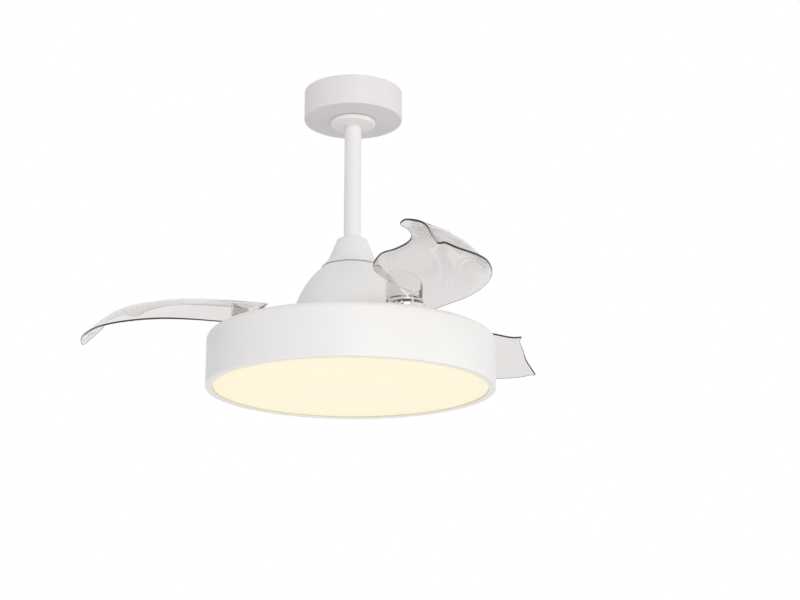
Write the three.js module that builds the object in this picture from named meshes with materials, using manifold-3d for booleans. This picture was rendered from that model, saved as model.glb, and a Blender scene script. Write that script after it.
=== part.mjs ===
// Ceiling fan with a round lamp drum and three clear blades that fold away over the drum.
// Millimetres, +Z up. The origin is the centre of the ceiling plane that the fan hangs from.
// Heights called "level" are measured up from the flat top of the lamp drum.
import * as THREE from "three";
import { mergeVertices } from "three/addons/utils/BufferGeometryUtils.js";
import Module from "manifold-3d";

const wasm = await Module();
wasm.setup();

// ---- clearances -------------------------------------------------------------------------
const seatGap = 0.3;
const rodGap = 0.6;
const toothPlay = 0.3;
const past = 9;

// ---- fasteners ---------------------------------------------------------------------------
const screwShank = 2;
const screwHole = screwShank + seatGap;
const crossPinRadius = 3;

// ---- canopy, bracket and rod -------------------------------------------------------------
const canopyRadius = 88;
const canopyHeight = 54;
const canopyWall = 1.5;
const canopyCorner = 2.5;
const canopyMouth = 22;
const bracketSheet = 2.5;
const bracketHalfSpan = 34;
const bracketWidth = 56;
const bracketFlange = 30;
const bracketSlotWidth = 7;
const bracketSlotLength = 18;
const trimRadius = 42;
const trimHeight = 4.5;
const trimWall = 1.2;
const ballRadius = 27;
const ballSeatRadius = 22;
const ballTopCut = 20;
const rodRadius = 15;
const rodWall = 2;
const rodReach = 404;

// ---- motor covers -----------------------------------------------------------------------
const domeTopLevel = 128;
const domeTopRadius = 50;
const domeBaseLevel = 25;
const domeBaseRadius = 108;
const domeWall = 2;
const capFootRadius = 47;
const capTopRadius = 26;
const capHeight = 52;
const capWall = 2;

// ---- motor ------------------------------------------------------------------------------
const shaftRadius = 10;
const shaftBore = 6.5;
const bearingRadius = 15;
const bearingHeight = 9;
const rotorRadius = 83;
const rotorWall = 3;
const rotorTopLevel = 90;
const rotorFlangeRadius = 96;
const statorRadius = 75;
const statorHeight = 24;
const statorLevel = 38;
const statorTeeth = 12;
const magnetWall = 3.5;
const magnetHeight = 26;
const windingDepth = 10;
const yokeRadius = 20;
const yokeHeight = 30;
const yokeFlangeRadius = 34;
const yokeFlange = 4;
const shaftNutHeight = 7;

// ---- lamp drum ----------------------------------------------------------------------------
const drumRadius = 250;
const drumHeight = 92;
const drumWall = 2;
const drumCorner = 11;
const drumLip = 12;
const diffuserWall = 2.5;
const diffuserCrown = 2.5;
const diffuserSkirt = 8;
const clipWidth = 16;
const mountPlateRadius = 66;
const mountPlate = 3;
const ledBoardRadius = 215;
const ledBoard = 1.6;

// ---- blade carrier and the gears that keep the blades in step ----------------------------
const bladeCount = 3;
const firstPivotAngle = -60;
const pivotRadius = 182.5;
const foldAngle = 112;
const carrierLevel = 5;
const carrierSheet = 3;
const carrierArmWidth = 60;
const carrierLobe = 38;
const ringTeeth = 96;
const hubTeeth = 24;
const pressureAngle = THREE.MathUtils.degToRad(20);
const gearThickness = 4.4;
const ringLift = 1.6;
const ringBand = 16.2;
const railInset = 2;
const railWidth = 6;
const postRadius = 6;
const postShank = 4.7;
const studRadius = 3;
const studReach = 8;
const hubColumnRadius = 11;
const hubFlangeRadius = 30;
const hubFlange = 3;
const springSpace = 6.5;
const springWire = 1.5;
const springTurns = 2;
const springCoilRadius = 13.5;
const springLeg = 37;
const springHook = 13.5;
const springPegRadius = 1.5;
const stopPinRadius = 2;
const stopPinReach = 35.2;

// ---- blade --------------------------------------------------------------------------------
const bladeWall = 3;
const footRadius = 34;
const footWall = 3;
const footFloor = 3;

// ---- facets -------------------------------------------------------------------------------
const drumSides = 48;
const coverSides = 32;
const roundSides = 20;
const shaftSides = 16;
const smallSides = 12;
const screwSides = 8;
const springSteps = 8;
const cornerSteps = 3;

// ---- derived places -------------------------------------------------------------------------
const canopyBottom = -canopyHeight;
const drumTop = canopyBottom - rodReach;
const gearLevel = carrierLevel + carrierSheet + ringLift;
const gearTop = gearLevel + gearThickness;
const hubFlangeLevel = gearTop + springSpace;
const footLevel = hubFlangeLevel + hubFlange + seatGap;
const hubColumnLevel = footLevel + footFloor + 1.2;
const postShoulderLevel = hubColumnLevel + seatGap;
const gearModule = (2 * pivotRadius) / (ringTeeth + hubTeeth);
const ringBoreRadius = gearModule * (ringTeeth / 2 - 1.25) - ringBand;
const carrierRadius = ringBoreRadius + railInset + 2 * railWidth;
const ringPitch = 360 / ringTeeth;
const hubPitch = 360 / hubTeeth;

function level(height) {
  return drumTop + height;
}

// ---- finishes -------------------------------------------------------------------------------
function finish(color, roughness, metalness, opacity = 1) {
  return new THREE.MeshStandardMaterial({ color, roughness, metalness, opacity, transparent: opacity < 1 });
}
const whitePaint = () => finish(0xf1f0ee, 0.45, 0);
const zincSteel = () => finish(0xb9bcc0, 0.4, 0.9);
const darkSteel = () => finish(0x6d7074, 0.5, 0.8);
const copper = () => finish(0xb0693c, 0.45, 0.8);
const blackFerrite = () => finish(0x2b2b2d, 0.7, 0.1);
const clearAcrylic = () => finish(0xe4e1df, 0.08, 0, 0.35);
const opalAcrylic = () => finish(0xfff1d8, 0.5, 0);
const whitePlastic = () => finish(0xe9e7e2, 0.5, 0);

// ---- solids ---------------------------------------------------------------------------------
function signedVolume(geometry) {
  const place = geometry.attributes.position;
  const index = geometry.index.array;
  const corner = [new THREE.Vector3(), new THREE.Vector3(), new THREE.Vector3()];
  let total = 0;
  for (let i = 0; i < index.length; i += 3) {
    corner.forEach((point, k) => point.fromBufferAttribute(place, index[i + k]));
    total += corner[0].dot(corner[1].clone().cross(corner[2]));
  }
  return total / 6;
}

// Shares the vertices, drops the flat triangles that a revolve leaves on its axis, and turns
// the faces outwards.
function closed(geometry) {
  const bare = geometry.clone();
  bare.deleteAttribute("normal");
  bare.deleteAttribute("uv");
  const merged = mergeVertices(bare, 1e-4);
  const index = merged.index.array;
  const kept = [];
  for (let i = 0; i < index.length; i += 3) {
    const [a, b, c] = [index[i], index[i + 1], index[i + 2]];
    if (a !== b && b !== c && c !== a) {
      kept.push(a, b, c);
    }
  }
  merged.setIndex(kept);
  if (signedVolume(merged) < 0) {
    merged.setIndex(kept.reverse());
  }
  return merged;
}

function toSolid(geometry) {
  const shut = closed(geometry);
  const vertProperties = new Float32Array(shut.attributes.position.array);
  const triVerts = new Uint32Array(shut.index.array);
  return new wasm.Manifold(new wasm.Mesh({ numProp: 3, vertProperties, triVerts }));
}

function fromSolid(solid) {
  const mesh = solid.getMesh();
  const geometry = new THREE.BufferGeometry();
  geometry.setAttribute("position", new THREE.BufferAttribute(new Float32Array(mesh.vertProperties), 3));
  geometry.setIndex(Array.from(mesh.triVerts));
  return geometry;
}

function cut(body, ...tools) {
  return fromSolid(tools.reduce((left, tool) => left.subtract(toSolid(tool)), toSolid(body)));
}

function join(...bodies) {
  return fromSolid(bodies.map(toSolid).reduce((whole, body) => whole.add(body)));
}

function polar(radius, degrees, z = 0) {
  const angle = THREE.MathUtils.degToRad(degrees);
  return new THREE.Vector3(radius * Math.cos(angle), radius * Math.sin(angle), z);
}

// Revolves a closed outline of [radius, height] points about Z.
function revolve(outline, sides) {
  const points = outline.map(([radius, height]) => new THREE.Vector2(radius, height));
  const shut = outline[0][0] > 0 ? [...points, points[0].clone()] : points;
  return closed(new THREE.LatheGeometry(shut, sides).rotateX(Math.PI / 2));
}

function ring(outer, inner, low, high, sides) {
  return revolve([[inner, low], [outer, low], [outer, high], [inner, high]], sides);
}

function rod(radius, low, high, sides = smallSides) {
  return revolve([[0, low], [radius, low], [radius, high], [0, high]], sides);
}

// Round stretch of an outline about a centre, from one angle to another.
function bend(centreX, centreY, radius, from, to, steps = cornerSteps) {
  return Array.from({ length: steps + 1 }, (_, i) => {
    const angle = THREE.MathUtils.degToRad(from + ((to - from) * i) / steps);
    return [centreX + radius * Math.cos(angle), centreY + radius * Math.sin(angle)];
  });
}

function slab(outline, low, high, holes = []) {
  const shape = new THREE.Shape(outline.map(([x, y]) => new THREE.Vector2(x, y)));
  shape.holes = holes.map((hole) => new THREE.Path(hole.map(([x, y]) => new THREE.Vector2(x, y))));
  const geometry = new THREE.ExtrudeGeometry(shape, { depth: high - low, bevelEnabled: false });
  return closed(geometry.translate(0, 0, low));
}

function circle(radius, sides, x = 0, y = 0) {
  return bend(x, y, radius, 0, 360 - 360 / sides, sides - 1);
}

function box(width, depth, low, high, x = 0, y = 0) {
  const geometry = new THREE.BoxGeometry(width, depth, high - low);
  return geometry.translate(x, y, (low + high) / 2);
}

// Screw standing on its head's seat: the head rises from "seat" and the shank goes down.
function screw(headRadius, headHeight, shankRadius, length, seat) {
  const shoulder = seat + headHeight * 0.5;
  const crown = seat + headHeight;
  return revolve([[0, seat - length], [shankRadius, seat - length], [shankRadius, seat],
    [headRadius, seat], [headRadius, shoulder], [headRadius * 0.6, crown], [0, crown]], screwSides);
}

const fan = new THREE.Group();

function add(name, geometry, material, parent = fan) {
  const mesh = new THREE.Mesh(closed(geometry), material);
  mesh.name = name;
  parent.add(mesh);
  return mesh;
}

// ---- ceiling bracket, ball, canopy and rod ---------------------------------------------------
const webTop = canopyBottom + canopyWall + seatGap + bracketSheet;
const webBottom = webTop - bracketSheet;
const ballCentre = webTop + Math.sqrt(ballRadius ** 2 - ballSeatRadius ** 2) + seatGap;
const canopyScrewX = 31;
const ballPinRise = 4;

// Pair of through holes for screws on the X axis.
function screwHoles(x, low, high) {
  return [-x, x].map((place) => rod(screwHole, low - past, high + past, screwSides).translate(place, 0, 0));
}

// Hole along Y for a cross pin, at a height.
function crossHole(z) {
  return rod(crossPinRadius + seatGap, -past * 4, past * 4, smallSides).rotateX(Math.PI / 2).translate(0, 0, z);
}

function ceilingBracket() {
  const inner = bracketHalfSpan;
  const outer = inner + bracketSheet;
  const end = outer + bracketFlange;
  const outline = [[-end, 0], [-end, -bracketSheet], [-outer, -bracketSheet], [-outer, webBottom],
    [outer, webBottom], [outer, -bracketSheet], [end, -bracketSheet], [end, 0],
    [inner, 0], [inner, webTop], [-inner, webTop], [-inner, 0]];
  const hat = slab(outline, -bracketWidth / 2, bracketWidth / 2).rotateX(Math.PI / 2);
  const slotX = outer + bracketFlange / 2;
  const slots = [-slotX, slotX].map((x) => box(bracketSlotWidth, bracketSlotLength, -past, past, x));
  const seat = rod(ballSeatRadius, webBottom - past, webTop + past, shaftSides);
  const mouth = box(2 * rodRadius + 4, bracketWidth, webBottom - past, webTop + past, 0, bracketWidth / 2);
  return cut(hat, ...slots, seat, mouth, ...screwHoles(canopyScrewX, webBottom, webTop));
}
add("ceiling_bracket", ceilingBracket(), zincSteel());

function canopyShell() {
  const inner = canopyRadius - canopyWall;
  const corner = canopyRadius - canopyCorner;
  const cornerZ = canopyBottom + canopyCorner;
  const shell = revolve([[inner, 0], ...bend(corner, cornerZ, canopyCorner - canopyWall, 0, -90),
    [canopyMouth, canopyBottom + canopyWall], [canopyMouth, canopyBottom],
    ...bend(corner, cornerZ, canopyCorner, -90, 0), [canopyRadius, 0]], coverSides);
  return cut(shell, ...screwHoles(canopyScrewX, canopyBottom, canopyBottom));
}
add("canopy_shell", canopyShell(), whitePaint());

["left", "right"].forEach((side, i) => {
  const seat = canopyBottom - seatGap;
  const shape = screw(3.6, 2.2, screwShank, 7, 0).rotateX(Math.PI);
  const mesh = add(`canopy_screw_${side}`, shape, zincSteel());
  mesh.position.set(i === 0 ? -canopyScrewX : canopyScrewX, 0, seat);
});

function trimRing() {
  const top = canopyBottom - seatGap;
  const low = top - trimHeight;
  const round = trimHeight * 0.6;
  const mouth = rodRadius + rodGap;
  return revolve([[trimRadius - trimWall, top], [trimRadius - trimWall, low + round + trimWall],
    [trimRadius - round, low + trimWall], [mouth, low + trimWall], [mouth, low],
    ...bend(trimRadius - round, low + round, round, -90, 0), [trimRadius, top]], roundSides);
}
add("canopy_trim_ring", trimRing(), whitePaint());

const rodTop = ballCentre + ballTopCut;
const rodBottom = level(domeTopLevel + 2);
const yokePinLevel = domeTopLevel + 18;

function hangerBall() {
  const bottomCut = ballCentre - (canopyBottom + 0.5);
  const topAngle = THREE.MathUtils.radToDeg(Math.asin(ballTopCut / ballRadius));
  const lowAngle = -THREE.MathUtils.radToDeg(Math.asin(bottomCut / ballRadius));
  const bore = rodRadius + seatGap;
  const ball = revolve([[bore, ballCentre - bottomCut],
    ...bend(0, ballCentre, ballRadius, lowAngle, topAngle, 6), [bore, ballCentre + ballTopCut]], shaftSides);
  return cut(ball, crossHole(ballCentre + ballPinRise));
}
add("hanger_ball", hangerBall(), whitePlastic());

function downrod() {
  const tube = ring(rodRadius, rodRadius - rodWall, rodBottom, rodTop, shaftSides);
  return cut(tube, crossHole(ballCentre + ballPinRise), crossHole(level(yokePinLevel)));
}
add("downrod", downrod(), whitePaint());

const hangerPin = add("hanger_pin", rod(crossPinRadius, -20, 20, smallSides).rotateX(Math.PI / 2), zincSteel());
hangerPin.position.z = ballCentre + ballPinRise;

// ---- yoke that joins the rod to the motor shaft ----------------------------------------------
const yokeFlangeTop = domeTopLevel - domeWall - seatGap;
const yokeLow = yokeFlangeTop - 18;
const yokeTop = domeTopLevel + yokeHeight;
const setScrewLevel = yokeTop - 5;
const clevisReach = yokeRadius + 4;
const domeScrewX = 29;
const setScrewRadius = 2.5;
const clipWire = 1.8;

function motorYoke() {
  const bore = rodRadius + seatGap;
  const rodSeat = rodBottom - seatGap;
  const body = revolve([[shaftRadius + seatGap, level(yokeLow)], [yokeRadius, level(yokeLow)],
    [yokeRadius, level(yokeFlangeTop - yokeFlange)], [yokeFlangeRadius, level(yokeFlangeTop - yokeFlange)],
    [yokeFlangeRadius, level(yokeFlangeTop)], [yokeRadius, level(yokeFlangeTop)],
    [yokeRadius, level(yokeTop)], [bore, level(yokeTop)], [bore, rodSeat],
    [shaftRadius + seatGap, rodSeat]], shaftSides);
  const setHole = rod(setScrewRadius + seatGap, 0, past * 4, smallSides).rotateY(Math.PI / 2);
  return cut(body, crossHole(level(yokePinLevel)), setHole.translate(0, 0, level(setScrewLevel)),
    ...screwHoles(domeScrewX, level(yokeLow), level(yokeFlangeTop)));
}
add("motor_yoke", motorYoke(), zincSteel());

function clevisPin() {
  const head = crossPinRadius + 1.5;
  const headed = revolve([[0, -clevisReach - 2], [head, -clevisReach - 2], [head, -clevisReach],
    [crossPinRadius, -clevisReach], [crossPinRadius, clevisReach + 4], [0, clevisReach + 4]], smallSides);
  const clipHole = rod(clipWire / 2 + 0.4, -past, past, screwSides).rotateY(Math.PI / 2)
    .translate(0, 0, clevisReach + 1);
  return cut(headed, clipHole).rotateX(-Math.PI / 2);
}
const clevis = add("clevis_pin", clevisPin(), zincSteel());
clevis.position.z = level(yokePinLevel);

function wireAlong(points, wire, steps, sides = 5) {
  const section = new THREE.Shape(circle(wire / 2, sides).map(([x, y]) => new THREE.Vector2(x, y)));
  const path = new THREE.CatmullRomCurve3(points);
  return closed(new THREE.ExtrudeGeometry(section, { steps, bevelEnabled: false, extrudePath: path }));
}

// Prints the least gap that a wire leaves to itself, between points along its middle that lie more
// than three wire widths apart along it.
function printLeastGap(name, points, wire, steps) {
  const knots = new THREE.CatmullRomCurve3(points).getSpacedPoints(steps);
  const marks = knots.slice(1).flatMap((knot, i) =>
    [0, 0.25, 0.5, 0.75].map((share) => knots[i].clone().lerp(knot, share)));
  const apart = Math.ceil((3 * wire) / marks[0].distanceTo(marks[1]));
  const gaps = marks.flatMap((mark, i) => marks.slice(i + apart).map((other) => mark.distanceTo(other) - wire));
  console.log(`${name}: least gap to itself ${Math.min(...gaps).toFixed(2)} mm`);
}

function cotterClip() {
  const points = [[-6, 0, 0], [4, 0, 0], [9, 0, 1.2], [11, 0, 3.8], [9, 0, 6.4], [4, 0, 5.4], [-3, 0, 4.4]]
    .map(([x, y, z]) => new THREE.Vector3(x, y, z));
  printLeastGap("cotter clip", points, clipWire, 14);
  return wireAlong(points, clipWire, 14);
}
const clip = add("cotter_clip", cotterClip(), zincSteel());
clip.position.set(0, clevisReach + 1, level(yokePinLevel));

const setScrewShape = rod(setScrewRadius, rodRadius + seatGap, yokeRadius + 3, smallSides).rotateY(Math.PI / 2);
const setScrew = add("yoke_set_screw", setScrewShape, darkSteel());
setScrew.position.z = level(setScrewLevel);

// ---- covers over the yoke and the motor --------------------------------------------------------
function couplingCover() {
  const foot = level(domeTopLevel) + seatGap;
  const top = foot + capHeight;
  const waist = foot + 14;
  const waistRadius = 41.5;
  const mouth = rodRadius + rodGap;
  const outer = [[capFootRadius, foot], [waistRadius, waist], [capTopRadius + 1.5, top - 4],
    ...bend(capTopRadius - 2.5, top - 4, 4, 20, 90)];
  const inner = [[capTopRadius - 4, top - capWall], [capTopRadius + 1.5 - capWall, top - 6],
    [waistRadius - capWall, waist], [capFootRadius - capWall, foot]];
  return revolve([...outer, [mouth, top], [mouth, top - capWall], ...inner], roundSides);
}
add("coupling_cover", couplingCover(), whitePaint());

// Bell outline of the motor cover: radius at each level, top to bottom.
const domeOutline = new THREE.SplineCurve([[domeTopRadius + 2, 126], [62, 118.5], [75, 106], [87.5, 88],
  [96, 69.5], [103.5, 47], [domeBaseRadius, domeBaseLevel]].map(([x, y]) => new THREE.Vector2(x, y)));

function motorDome() {
  const outer = domeOutline.getPoints(8).map((point) => [point.x, level(point.y)]);
  const inner = outer.slice(1).map(([radius, z]) => [radius - domeWall, Math.max(z - domeWall, level(domeBaseLevel))])
    .reverse();
  const mouth = yokeRadius + 4;
  const top = level(domeTopLevel);
  const bell = revolve([[mouth, top], [domeTopRadius, top], ...outer, ...inner,
    [domeTopRadius, top - domeWall], [mouth, top - domeWall]], coverSides);
  return cut(bell, ...screwHoles(domeScrewX, top, top));
}
add("motor_dome", motorDome(), whitePaint());

["left", "right"].forEach((side, i) => {
  const mesh = add(`dome_screw_${side}`, screw(3.8, 2.4, screwShank, 7, level(domeTopLevel) + seatGap), zincSteel());
  mesh.position.x = i === 0 ? -domeScrewX : domeScrewX;
});

// ---- motor ---------------------------------------------------------------------------------------
const coverLevel = carrierLevel + carrierSheet + seatGap;
const coverSheet = 3;
const lowerBearingLevel = coverLevel + 0.7;
const upperBearingLevel = rotorTopLevel - bearingHeight - 2;
const shaftTop = rodBottom - seatGap - 1;
const shaftLow = level(-mountPlate - drumWall - shaftNutHeight - 3);
const hubWall = 4;

add("motor_shaft", ring(shaftRadius, shaftBore, shaftLow, shaftTop, shaftSides), zincSteel());

function statorCore() {
  const neckHalf = 6;
  const rootRadius = 38;
  const shoeRadius = 69;
  const shoeHalf = 12.5;
  const outline = [];
  for (let tooth = 0; tooth < statorTeeth; tooth += 1) {
    const middle = (tooth * 360) / statorTeeth;
    const neck = (radius, side) => {
      const spread = THREE.MathUtils.radToDeg(Math.asin(neckHalf / radius));
      return polar(radius, middle + side * spread);
    };
    const corners = [neck(rootRadius, -1), neck(shoeRadius, -1), polar(shoeRadius, middle - shoeHalf),
      polar(statorRadius, middle - shoeHalf), polar(statorRadius, middle + shoeHalf),
      polar(shoeRadius, middle + shoeHalf), neck(shoeRadius, 1), neck(rootRadius, 1)];
    corners.forEach((corner) => outline.push([corner.x, corner.y]));
  }
  const bore = circle(shaftRadius + seatGap, shaftSides);
  return slab(outline, level(statorLevel), level(statorLevel + statorHeight), [bore]);
}
add("stator_core", statorCore(), darkSteel());

// Coil ends that stand out of the slots, one block round each tooth on a common lead ring.
function statorWinding(low, high) {
  const innerRadius = 40;
  const ringRadius = 47;
  const coilRadius = 66;
  const coilHalf = 11;
  const outline = [];
  for (let tooth = 0; tooth < statorTeeth; tooth += 1) {
    const middle = (tooth * 360) / statorTeeth;
    [polar(ringRadius, middle - coilHalf), polar(coilRadius, middle - coilHalf),
      polar(coilRadius, middle + coilHalf), polar(ringRadius, middle + coilHalf)]
      .forEach((corner) => outline.push([corner.x, corner.y]));
  }
  return slab(outline, low, high, [circle(innerRadius, statorTeeth)]);
}
const coilTop = level(statorLevel + statorHeight) + seatGap;
const coilBottom = level(statorLevel) - seatGap;
add("stator_winding_upper", statorWinding(coilTop, coilTop + windingDepth), copper());
add("stator_winding_lower", statorWinding(coilBottom - windingDepth, coilBottom), copper());

const spacerTop = level(lowerBearingLevel) - seatGap;
add("shaft_spacer", ring(13, shaftRadius + seatGap, level(0) + seatGap, spacerTop, shaftSides), zincSteel());

const rotor = new THREE.Group();
fan.add(rotor);

function rotorHousing() {
  const bore = bearingRadius + seatGap;
  const hub = bore + hubWall;
  const foot = level(coverLevel + coverSheet + seatGap);
  const top = level(rotorTopLevel);
  const inner = rotorRadius - rotorWall;
  return revolve([[bore, level(upperBearingLevel - 1)], [hub, level(upperBearingLevel - 1)],
    [hub, top - rotorWall], [inner - 5, top - rotorWall], [inner, top - rotorWall - 5], [inner, foot],
    [rotorFlangeRadius, foot], [rotorFlangeRadius, foot + rotorWall], [rotorRadius, foot + rotorWall],
    [rotorRadius, top - 7], [rotorRadius - 7, top], [bore, top]], roundSides);
}
add("rotor_housing", rotorHousing(), zincSteel(), rotor);

function rotorCover() {
  const bore = bearingRadius + seatGap;
  const hub = bore + hubWall;
  const low = level(coverLevel);
  return revolve([[bore, low], [rotorFlangeRadius, low], [rotorFlangeRadius, low + coverSheet],
    [hub, low + coverSheet], [hub, low + bearingHeight + 2], [bore, low + bearingHeight + 2]], roundSides);
}
add("rotor_cover", rotorCover(), zincSteel(), rotor);

const magnetOuter = rotorRadius - rotorWall - seatGap;
const magnetLow = level(statorLevel - 1);
add("magnet_ring", ring(magnetOuter, magnetOuter - magnetWall, magnetLow, magnetLow + magnetHeight, roundSides),
  blackFerrite(), rotor);

[["lower_bearing", lowerBearingLevel], ["upper_bearing", upperBearingLevel]].forEach(([name, low]) => {
  add(name, ring(bearingRadius, shaftRadius + seatGap, level(low), level(low + bearingHeight), shaftSides),
    darkSteel(), rotor);
});

// ---- lamp drum -----------------------------------------------------------------------------------
const drumScrewRadius = 48;
const drumScrewAngles = [90, 210, 330];
const diffuserRadius = drumRadius - drumLip - 0.5;

function holeAt(radius, degrees, size, sides = smallSides) {
  const place = polar(radius, degrees);
  return rod(size, level(-past), level(carrierLevel + past), sides).translate(place.x, place.y, 0);
}

function drumScrewHoles() {
  return drumScrewAngles.map((angle) => holeAt(drumScrewRadius, angle, screwHole, screwSides));
}

function drumShell() {
  const top = level(0);
  const low = level(-drumHeight);
  const corner = drumRadius - drumCorner;
  const cornerZ = top - drumCorner;
  const mouth = shaftRadius + seatGap;
  const lip = drumRadius - drumLip;
  const inner = drumRadius - drumWall;
  const shell = revolve([[mouth, top], ...bend(corner, cornerZ, drumCorner, 90, 0),
    [drumRadius, low + 1.5], [drumRadius - 1.5, low], [lip, low], [lip, low + drumWall],
    [inner, low + drumWall], ...bend(corner, cornerZ, drumCorner - drumWall, 0, 90),
    [mouth, top - drumWall]], drumSides);
  return cut(shell, ...drumScrewHoles());
}
add("drum_shell", drumShell(), whitePaint());

const plateTop = level(-drumWall) - seatGap;
function lampMountPlate() {
  const plate = ring(mountPlateRadius, shaftRadius + seatGap, plateTop - mountPlate, plateTop, roundSides);
  return cut(plate, ...drumScrewHoles());
}
add("lamp_mount_plate", lampMountPlate(), zincSteel());

drumScrewAngles.forEach((angle, i) => {
  const mesh = add(`drum_screw_${i + 1}`, screw(3.8, 2.2, screwShank, 5.5, level(0) + seatGap), zincSteel());
  mesh.position.copy(polar(drumScrewRadius, angle));
});

const nutTop = plateTop - mountPlate - seatGap;
const shaftNut = slab(circle(17, 6), nutTop - shaftNutHeight, nutTop, [circle(shaftRadius + seatGap, shaftSides)]);
add("shaft_nut", shaftNut, zincSteel());

const boardTop = level(-drumWall) - seatGap;
add("led_board", ring(ledBoardRadius, mountPlateRadius + 10, boardTop - ledBoard, boardTop, coverSides), whitePlastic());

const boxTop = plateTop - mountPlate - seatGap;
add("led_driver", box(84, 30, boxTop - 22, boxTop, 0, 38), whitePlastic());
add("motor_controller", box(70, 26, boxTop - 18, boxTop, 0, -36), whitePlastic());

function diffuser() {
  const low = level(-drumHeight);
  const skirt = low + diffuserSkirt;
  const crown = [0.4, 0.75].map((share) => [diffuserRadius * share, low + diffuserCrown * share ** 2]);
  const inner = crown.map(([radius, z]) => [radius, z + diffuserWall]).reverse();
  return revolve([[0, low], ...crown, [diffuserRadius, low + diffuserCrown], [diffuserRadius, skirt],
    [diffuserRadius - diffuserWall, skirt], [diffuserRadius - diffuserWall, low + diffuserCrown + diffuserWall],
    ...inner, [0, low + diffuserWall]], drumSides);
}
add("diffuser", diffuser(), opalAcrylic());

// Spring clip on the drum's wall that presses on the diffuser's skirt.
function diffuserClip() {
  const wallRadius = (drumRadius - drumWall) * Math.cos(Math.PI / drumSides) - seatGap;
  const skirtRadius = diffuserRadius + seatGap;
  const outline = [[wallRadius, 0], [wallRadius, 26], [wallRadius - 1.2, 26], [wallRadius - 1.2, 3],
    [skirtRadius + 1.4, 6], [skirtRadius, 4], [wallRadius - 2.2, 0]];
  const low = level(-drumHeight + drumWall) + 0.5;
  return slab(outline, -clipWidth / 2, clipWidth / 2).rotateX(Math.PI / 2).translate(0, 0, low);
}
for (let i = 0; i < 3; i += 1) {
  const mesh = add(`diffuser_clip_${i + 1}`, diffuserClip(), zincSteel());
  mesh.rotation.z = THREE.MathUtils.degToRad(3 + i * 120);
}

// ---- blade carrier ---------------------------------------------------------------------------------
const pivotAngles = Array.from({ length: bladeCount }, (_, i) => firstPivotAngle - (i * 360) / bladeCount);
const guideRoller = 8;
const guideFlange = 11;
const guideRadius = ringBoreRadius * Math.cos(Math.PI / drumSides) - guideRoller - seatGap;
const guidePin = 3;
const railRadius = ringBoreRadius + railInset;
const stopPinDrop = springCoilRadius - springWire / 2 - seatGap - stopPinRadius;
const guideAngles = pivotAngles.map((angle) => angle + 180 / bladeCount);

function bladeCarrier() {
  const low = level(carrierLevel);
  const top = low + carrierSheet;
  const arms = pivotAngles.flatMap((angle) => {
    const turn = THREE.MathUtils.degToRad(angle);
    const middle = (carrierRadius * 0.7 + pivotRadius) / 2;
    const length = pivotRadius - carrierRadius * 0.7;
    const lobe = polar(pivotRadius, angle);
    return [box(length, carrierArmWidth, low, top, middle).rotateZ(turn),
      rod(carrierLobe, low, top, roundSides).translate(lobe.x, lobe.y, 0)];
  });
  const stopPins = pivotAngles.map((angle) => {
    const x = pivotRadius + Math.sqrt(stopPinReach ** 2 - stopPinDrop ** 2);
    return rod(stopPinRadius, low, level(hubFlangeLevel) - 2 * springWire, screwSides)
      .translate(x, -stopPinDrop, 0).rotateZ(THREE.MathUtils.degToRad(angle));
  });
  const rail = ring(railRadius + railWidth, railRadius, low, level(gearLevel) - seatGap, coverSides);
  const plate = join(rod(carrierRadius, low, top, coverSides), ...arms, rail, ...stopPins);
  const centre = rod(bearingRadius + 12, low - past, top + past, shaftSides);
  const postHoles = pivotAngles.map((angle) => holeAt(pivotRadius, angle, postShank + seatGap));
  const guideHoles = guideAngles.map((angle) => holeAt(guideRadius, angle, guidePin + seatGap));
  return cut(plate, centre, ...postHoles, ...guideHoles);
}
add("blade_carrier", bladeCarrier(), whitePaint(), rotor);

function ringGuide() {
  const seat = level(carrierLevel + carrierSheet) + seatGap;
  const lip = level(gearTop) + seatGap;
  return revolve([[0, level(carrierLevel) - 1], [guidePin, level(carrierLevel) - 1], [guidePin, seat],
    [guideRoller, seat], [guideRoller, lip], [guideFlange, lip], [guideFlange, lip + 1.6], [0, lip + 1.6]],
  smallSides);
}
guideAngles.forEach((angle, i) => {
  const mesh = add(`ring_guide_${i + 1}`, ringGuide(), whitePlastic(), rotor);
  mesh.position.copy(polar(guideRadius, angle));
});

// ---- gears -------------------------------------------------------------------------------------------
// Half the angle that a tooth fills at a radius: an involute flank, thinned by the tooth play.
function toothHalfAngle(teeth, radius) {
  const pitchRadius = (gearModule * teeth) / 2;
  const baseRadius = pitchRadius * Math.cos(pressureAngle);
  const involute = (angle) => Math.tan(angle) - angle;
  const lean = Math.acos(Math.min(1, baseRadius / radius));
  const atPitch = Math.PI / (2 * teeth) - toothPlay / (2 * pitchRadius);
  return THREE.MathUtils.radToDeg(atPitch + involute(pressureAngle) - involute(lean));
}

// Points of one tooth on a gear centred on the origin, from its root to its tip and back.
function toothOutline(teeth, middle) {
  const pitchRadius = (gearModule * teeth) / 2;
  const rootRadius = pitchRadius - 1.25 * gearModule;
  const tipRadius = pitchRadius + gearModule;
  const radii = [rootRadius, pitchRadius, tipRadius];
  const flank = radii.map((radius) => [radius, toothHalfAngle(teeth, radius)]);
  const rising = flank.map(([radius, half]) => polar(radius, middle - half));
  const falling = flank.reverse().map(([radius, half]) => polar(radius, middle + half));
  return [...rising, ...falling].map((point) => [point.x, point.y]);
}

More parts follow.
